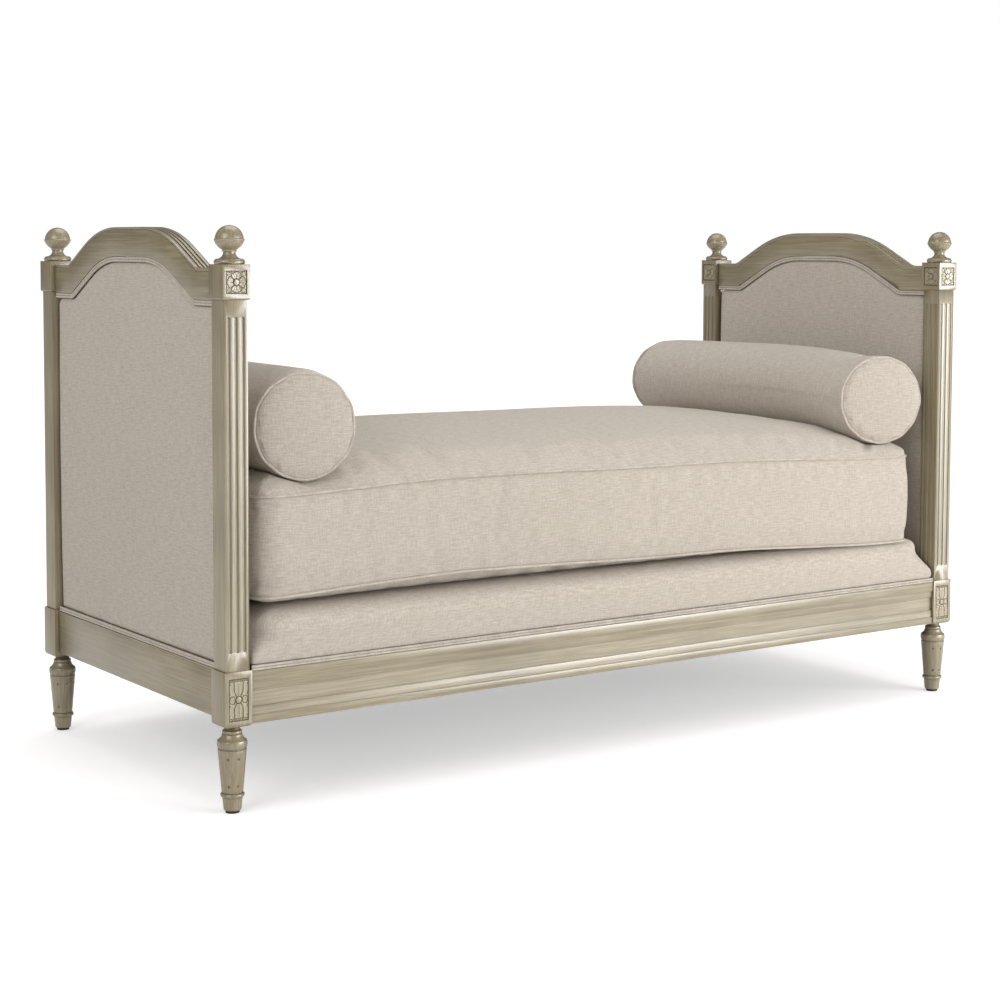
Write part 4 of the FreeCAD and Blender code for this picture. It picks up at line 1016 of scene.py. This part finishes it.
def seamHeight(x, y, seam, sway):
    front = 0.7 - 0.3 * y / mattress["halfDepth"]
    waves = noise.noise(Vector((x * 5.5, y * 5.5, seam * 30))) * 1.4 * mm
    return seam + along(sway, (x - mattress["middle"]) / mm) * mm * front + waves


def crownHeight(u, v):
    ends = math.sqrt(max(0.0, 1 - u * u))
    sides = math.sqrt(max(0.0, 1.0005 - (v * v + 0.003) ** 0.4167))
    high = softMin(ends, sides, 0.22 * ends * sides)
    high = softMin(high, 0.97, 0.09 * high)
    return mattress["crown"] * max(0.0, high)


def mattressPiece():
    cloth = Cloth()
    us = spaced(mattress["columns"], 0.5)
    vs = spaced(mattress["rows"], 0.5)
    halfX, halfY, corner = mattress["halfLength"], mattress["halfDepth"], mattress["corner"]

    def plan(u, v, grow=0.0):
        x, y = roundPlan(u, v, halfX + grow, halfY + grow, corner + grow)
        return x + mattress["middle"], y
    top = []
    low = []
    for v in vs:
        topRow = []
        lowRow = []
        for u in us:
            x, y = plan(u, v)
            z = seamHeight(x, y, mattress["topSeam"], mattress["topSway"]) + crownHeight(u, v)
            edge = 1 - max(abs(u), abs(v))
            for way in (-1, 1):  # pressed by a bolster, with ripples beside it
                off = x - way * bolster["x"]
                if edge > 0 and abs(off) < mattress["pressed"]:
                    hollow = bolsterAxis(way, y) - math.sqrt(mattress["pressed"] ** 2 - off * off)
                    z = softMin(z, hollow, 7 * mm * min(1.0, edge * 14))
                beside = math.exp(-max(0.0, abs(off) - 100 * mm) / (150 * mm)) * min(1.0, edge * 8)
                z += noise.noise(Vector((x * 2.6 + y * 2.0, y * 21 - x * 5, 4.0))) * 2.6 * mm * beside
            topRow.append((x, y, z))
            drop = min((1 - abs(u)) * halfX, (1 - abs(v)) * halfY)
            seam = seamHeight(x, y, mattress["bottomSeam"], mattress["bottomSway"])
            share = max(0.0, 1 - drop / (90 * mm)) ** 2
            base = mattress["low"] + (seam - mattress["low"]) * share
            if edge > 0:
                base = max(base, deckHeight(x, y) + 0.8 * mm)
            lowRow.append((x, y, base if edge > 0 else seam))
        top.append(topRow)
        low.append(lowRow)
    cloth.patch(top, flatMap(top))
    cloth.patch(low, flatMap(low))
    around = border(us, vs)
    rings = []
    maps = []
    for t in steps(0, 1, mattress["sides"]):
        share = t * 0.6 + (1 - math.cos(math.pi * t)) / 2 * 0.4
        grow = mattress["bulge"] * math.sin(math.pi * share) ** 0.6
        ring = []
        run = 0.0
        ringMap = []
        last = None
        for u, v in around + around[:1]:
            baseX, baseY = plan(u, v)
            x, y = plan(u, v, grow)
            z0 = seamHeight(baseX, baseY, mattress["bottomSeam"], mattress["bottomSway"])
            z1 = seamHeight(baseX, baseY, mattress["topSeam"], mattress["topSway"])
            if last:
                run += math.hypot(baseX - last[0], baseY - last[1])
            last = (baseX, baseY)
            ring.append((x, y, z0 + (z1 - z0) * share))
            ringMap.append((run, z0 + (z1 - z0) * share))
        rings.append(ring[:-1])
        maps.append(ringMap)
    cloth.patch(rings, maps, closed=True)
    piece = cloth.close("mattressCover")
    floor = [point for row in low for point in row if point[2] < 410 * mm]
    blown(piece, seamKeys(rings[0] + rings[-1] + floor), 3.0, 9 * mm, 0.02)
    for vertex in piece.data.vertices:
        place = vertex.co
        if place.z < 440 * mm:
            place.z = max(place.z, deckHeight(place.x, place.y) + 0.5 * mm)
        for way in (-1, 1):
            axis = bolsterAxis(way, place.y)
            off = Vector((place.x - way * bolster["x"], 0, place.z - axis))
            if place.z > 560 * mm and 0 < off.length < mattress["pressedLeast"]:
                off *= mattress["pressedLeast"] / off.length
                place.x = way * bolster["x"] + off.x
                place.z = axis + off.z
        limit, zipLow, zipHigh = mattress["zipLimit"]
        most = limit if zipLow < place.z < zipHigh else mattress["depthLimit"]
        place.y = max(-mattress["depthLimit"], min(most, place.y))
    finer(piece)
    return piece, rings[0], rings[-1]


piece, bottomRing, topRing = mattressPiece()
finish(piece, "mattressCover", "mattress", "linen", "mattress_cover", "mattress_core")
for name, node, ring in (("mattressTopPiping", "mattress_top_piping", topRing),
                         ("mattressBottomPiping", "mattress_bottom_piping", bottomRing)):
    path = []
    for (x0, y0, z0), (x, y, z), (x1, y1, z1) in zip(ring[-1:] + ring[:-1], ring, ring[1:] + ring[:1]):
        across = Vector((y1 - y0, x0 - x1, 0)).normalized() * 1.8 * mm
        path.append((x + across.x, y + across.y, z))
    cords = cordPiece(name, [path], mattress["piping"], closed=True)
    finish(cords, name, "mattress", "piping_linen", node)
print("stage: mattress made")


# Zip at the back of the mattress: two hemmed tapes, rows of teeth between them, and a slider with its tab

zipper = {
    "pitch": 2.2 * mm,
    "tooth": (1.25 * mm, 1.1 * mm, 4.2 * mm),
    "hem": 0.5 * mm,
    "tape": 0.9 * mm,
    "teethStart": 6 * mm,
    "teethEnd": 22 * mm,
    "sliderFromEnd": 16 * mm,
    "slider": (  # half width, depth and height from and to, easing
        (6, 0.4, 2.4, -4, 4, 0.8), (2.2, 2.2, 3.2, -24, 2, 0.4), (3.4, 2.1, 3.3, -26, -15, 0.5),
    ),
}


def teethTree():
    graph, (path, pitch, size, metal) = shapeTree(
        "zipTeeth", "Teeth", ("Path", "Geometry", None), ("Pitch", "Float", None), ("Tooth", "Vector", None),
        ("Metal", "Material", None))
    line = graph.node("GeometryNodeMeshToCurve", None, {"Mesh": path})
    places = graph.node("GeometryNodeCurveToPoints", {"mode": "LENGTH"}, {"Curve": line, "Length": pitch})
    tooth = graph.node("GeometryNodeMeshCube", None, {"Size": size})
    row = graph.node("GeometryNodeInstanceOnPoints", None, {"Points": places, "Instance": tooth})
    solid = graph.node("GeometryNodeRealizeInstances", None, {0: row})
    dressed = graph.node("GeometryNodeSetMaterial", None, {"Geometry": solid, "Material": metal})
    graph.node("NodeGroupOutput", None, {0: dressed})
    return graph.tree


def roundedBox(bm, low, high, ease):
    made = bmesh.ops.create_cube(bm, size=1)["verts"]
    for vert in made:
        vert.co = Vector([l + (h - l) * (c + 0.5) for l, h, c in zip(low, high, vert.co)])
    edges = {edge for vert in made for edge in vert.link_edges}
    bmesh.ops.bevel(bm, geom=list(edges), offset=ease, segments=2, profile=0.5, affect="EDGES",
                    clamp_overlap=True)


def zipPiece():
    low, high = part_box("mattress_zip")
    middle = (low[2] + high[2]) / 2
    tape = bmesh.new()
    for bottom, top in ((low[2], middle - 1.0 * mm), (middle + 1.0 * mm, high[2])):
        roundedBox(tape, (low[0], low[1], bottom), (high[0], low[1] + zipper["tape"], top), 0.3 * mm)
        for hem in (bottom + 0.8 * mm, top - 0.8 * mm):
            roundedBox(tape, (low[0], low[1] + 0.5 * mm, hem - zipper["hem"]),
                       (high[0], low[1] + 1.2 * mm, hem + zipper["hem"]), 0.25 * mm)
    tapes = fromBmesh("mattressZipTape", tape, zipTape)
    finish(tapes, tapes.name, "mattress", "zip", "mattress_zip")
    path = bpy.data.meshes.new("zipPath")
    y = low[1] + zipper["tape"]
    path.from_pydata([(low[0] + zipper["teethStart"], y, middle), (high[0] - zipper["teethEnd"], y, middle)],
                     [(0, 1)], [])
    teeth = byTree("mattressZipTeeth", path, teethTree(),
                   {"Pitch": zipper["pitch"], "Tooth": zipper["tooth"], "Metal": zinc}, zinc)
    finish(teeth, teeth.name, "mattress", "zip")
    pull = bmesh.new()
    x = high[0] - zipper["sliderFromEnd"]
    for half, y0, y1, z0, z1, ease in zipper["slider"]:
        roundedBox(pull, (x - half * mm, low[1] + y0 * mm, middle + z0 * mm),
                   (x + half * mm, low[1] + y1 * mm, middle + z1 * mm), ease * mm)
    slider = fromBmesh("mattressZipSlider", pull, zinc)
    slider.data.set_sharp_from_angle(angle=joinery["smooth"])
    finish(slider, slider.name, "mattress", "zip")


zipPiece()
print("stage: zip made")


# Camera at the photograph's place, worked out from the four posts

view = {
    "place": (-2.8593, -4.0116, 1.1276),
    "yaw": 34.97,
    "pitch": 3.91,
    "roll": 0.18,
    "lens": 73.28,
    "shift": -0.1139,
}


def placeCamera():
    data = bpy.data.cameras.new("photoView")
    camera = bpy.data.objects.new("photoView", data)
    bpy.context.scene.collection.objects.link(camera)
    data.sensor_width = 36
    data.sensor_fit = "AUTO"
    data.lens = view["lens"]
    data.shift_y = view["shift"]
    data.clip_end = 100
    yaw, pitch, roll = (math.radians(view[key]) for key in ("yaw", "pitch", "roll"))
    ahead = Vector((math.sin(yaw) * math.cos(pitch), math.cos(yaw) * math.cos(pitch), -math.sin(pitch)))
    right = Vector((math.cos(yaw), -math.sin(yaw), 0))
    up = right.cross(ahead)
    turned = right * math.cos(roll) + up * math.sin(roll)
    upright = turned.cross(ahead)
    camera.matrix_world = Matrix((
        (turned.x, upright.x, -ahead.x, view["place"][0]),
        (turned.y, upright.y, -ahead.y, view["place"][1]),
        (turned.z, upright.z, -ahead.z, view["place"][2]),
        (0, 0, 0, 1),
    ))
    bpy.context.scene.camera = camera


placeCamera()


# A pale studio: white floor that keeps the shadow, white all round, a broad lamp from the front right
# and weaker fills

studio = {
    "floor": (0.80, 0.79, 0.78, 1),
    "floorSpecks": (0.7, 0.7, 0.7, 1),
    "aim": (0, 0, 0.55),
    "lift": 0.42,  # added to the floor where the camera sees it
    "farLift": 0.25,
    "ambient": 0.62,
    "mirrored": 0.12,  # what satin paint reflects of the air
    "key": {"place": (3.2, -4.6, 1.25), "width": 4.2, "height": 2.1, "power": 252},
    "fill": {"place": (-5.4, -2.4, 3.2), "width": 3.2, "height": 3.2, "power": 112},
    "top": {"place": (0.3, 0.6, 4.6), "width": 3.6, "height": 3.6, "power": 72},
}


def seenStraight(graph, rays):  # 1 where the camera looks on, also through glass
    return graph.greater(Wire(graph, rays.outputs["Is Camera Ray"]),
                         Wire(graph, rays.outputs["Is Transmission Ray"]))


def placeFloor():
    def build(graph):
        specks = graph.noise(graph.coords(), 30, 2.0) * 0.02
        return {"Base Color": graph.blend(specks, studio["floor"], studio["floorSpecks"]),
                "Roughness": 0.9 + graph.noise(graph.coords(), 60, 2.0) * 0.08}
    bm = bmesh.new()
    bmesh.ops.create_grid(bm, x_segments=2, y_segments=2, size=40)
    floor = fromBmesh("studioFloor", bm, newMaterial("floorPaint", {"Specular IOR Level": 0.1}, build),
                      smooth=False)
    graph = Graph(floor.data.materials[0].node_tree)
    tree = graph.tree
    outlet = next(n for n in tree.nodes if n.bl_idname == "ShaderNodeOutputMaterial")
    paint = Wire(graph, outlet.inputs["Surface"].links[0].from_socket)
    seen = seenStraight(graph, tree.nodes.new("ShaderNodeLightPath"))
    away = graph.node("ShaderNodeVectorMath", {"operation": "LENGTH"}, {0: graph.coords()}, out="Value")
    lift = studio["lift"] + graph.between(away, 1.6, 6.0) * studio["farLift"]
    glow = graph.node("ShaderNodeEmission", None, {"Color": (1, 1, 1, 1), "Strength": seen * lift})
    both = graph.node("ShaderNodeAddShader", None, {0: paint, 1: glow})
    tree.links.new(both.socket, outlet.inputs["Surface"])


def lightStudio():
    world = bpy.data.worlds.new("studioAir")
    bpy.context.scene.world = world
    world.use_nodes = True
    world.node_tree.nodes.clear()
    graph = Graph(world.node_tree)
    rays = world.node_tree.nodes.new("ShaderNodeLightPath")
    seen = seenStraight(graph, rays)
    mirrored = Wire(graph, rays.outputs["Is Glossy Ray"]) * (studio["mirrored"] - studio["ambient"])
    air = graph.node("ShaderNodeBackground", None, {
        "Color": (1, 1, 1, 1), "Strength": seen * (1 - studio["ambient"]) + studio["ambient"] + mirrored})
    graph.node("ShaderNodeOutputWorld", None, {"Surface": air})
    for name in ("key", "fill", "top"):
        lamp = studio[name]
        data = bpy.data.lights.new(name + "Lamp", "AREA")
        data.shape = "RECTANGLE"
        data.size = lamp["width"]
        data.size_y = lamp["height"]
        data.energy = lamp["power"]
        light = bpy.data.objects.new(name + "Lamp", data)
        bpy.context.scene.collection.objects.link(light)
        light.location = lamp["place"]
        aim = Vector(studio["aim"]) - light.location
        light.rotation_euler = aim.to_track_quat("-Z", "Y").to_euler()


placeFloor()
lightStudio()
bpy.context.scene.view_settings.view_transform = "Standard"
print("stage: studio lit")
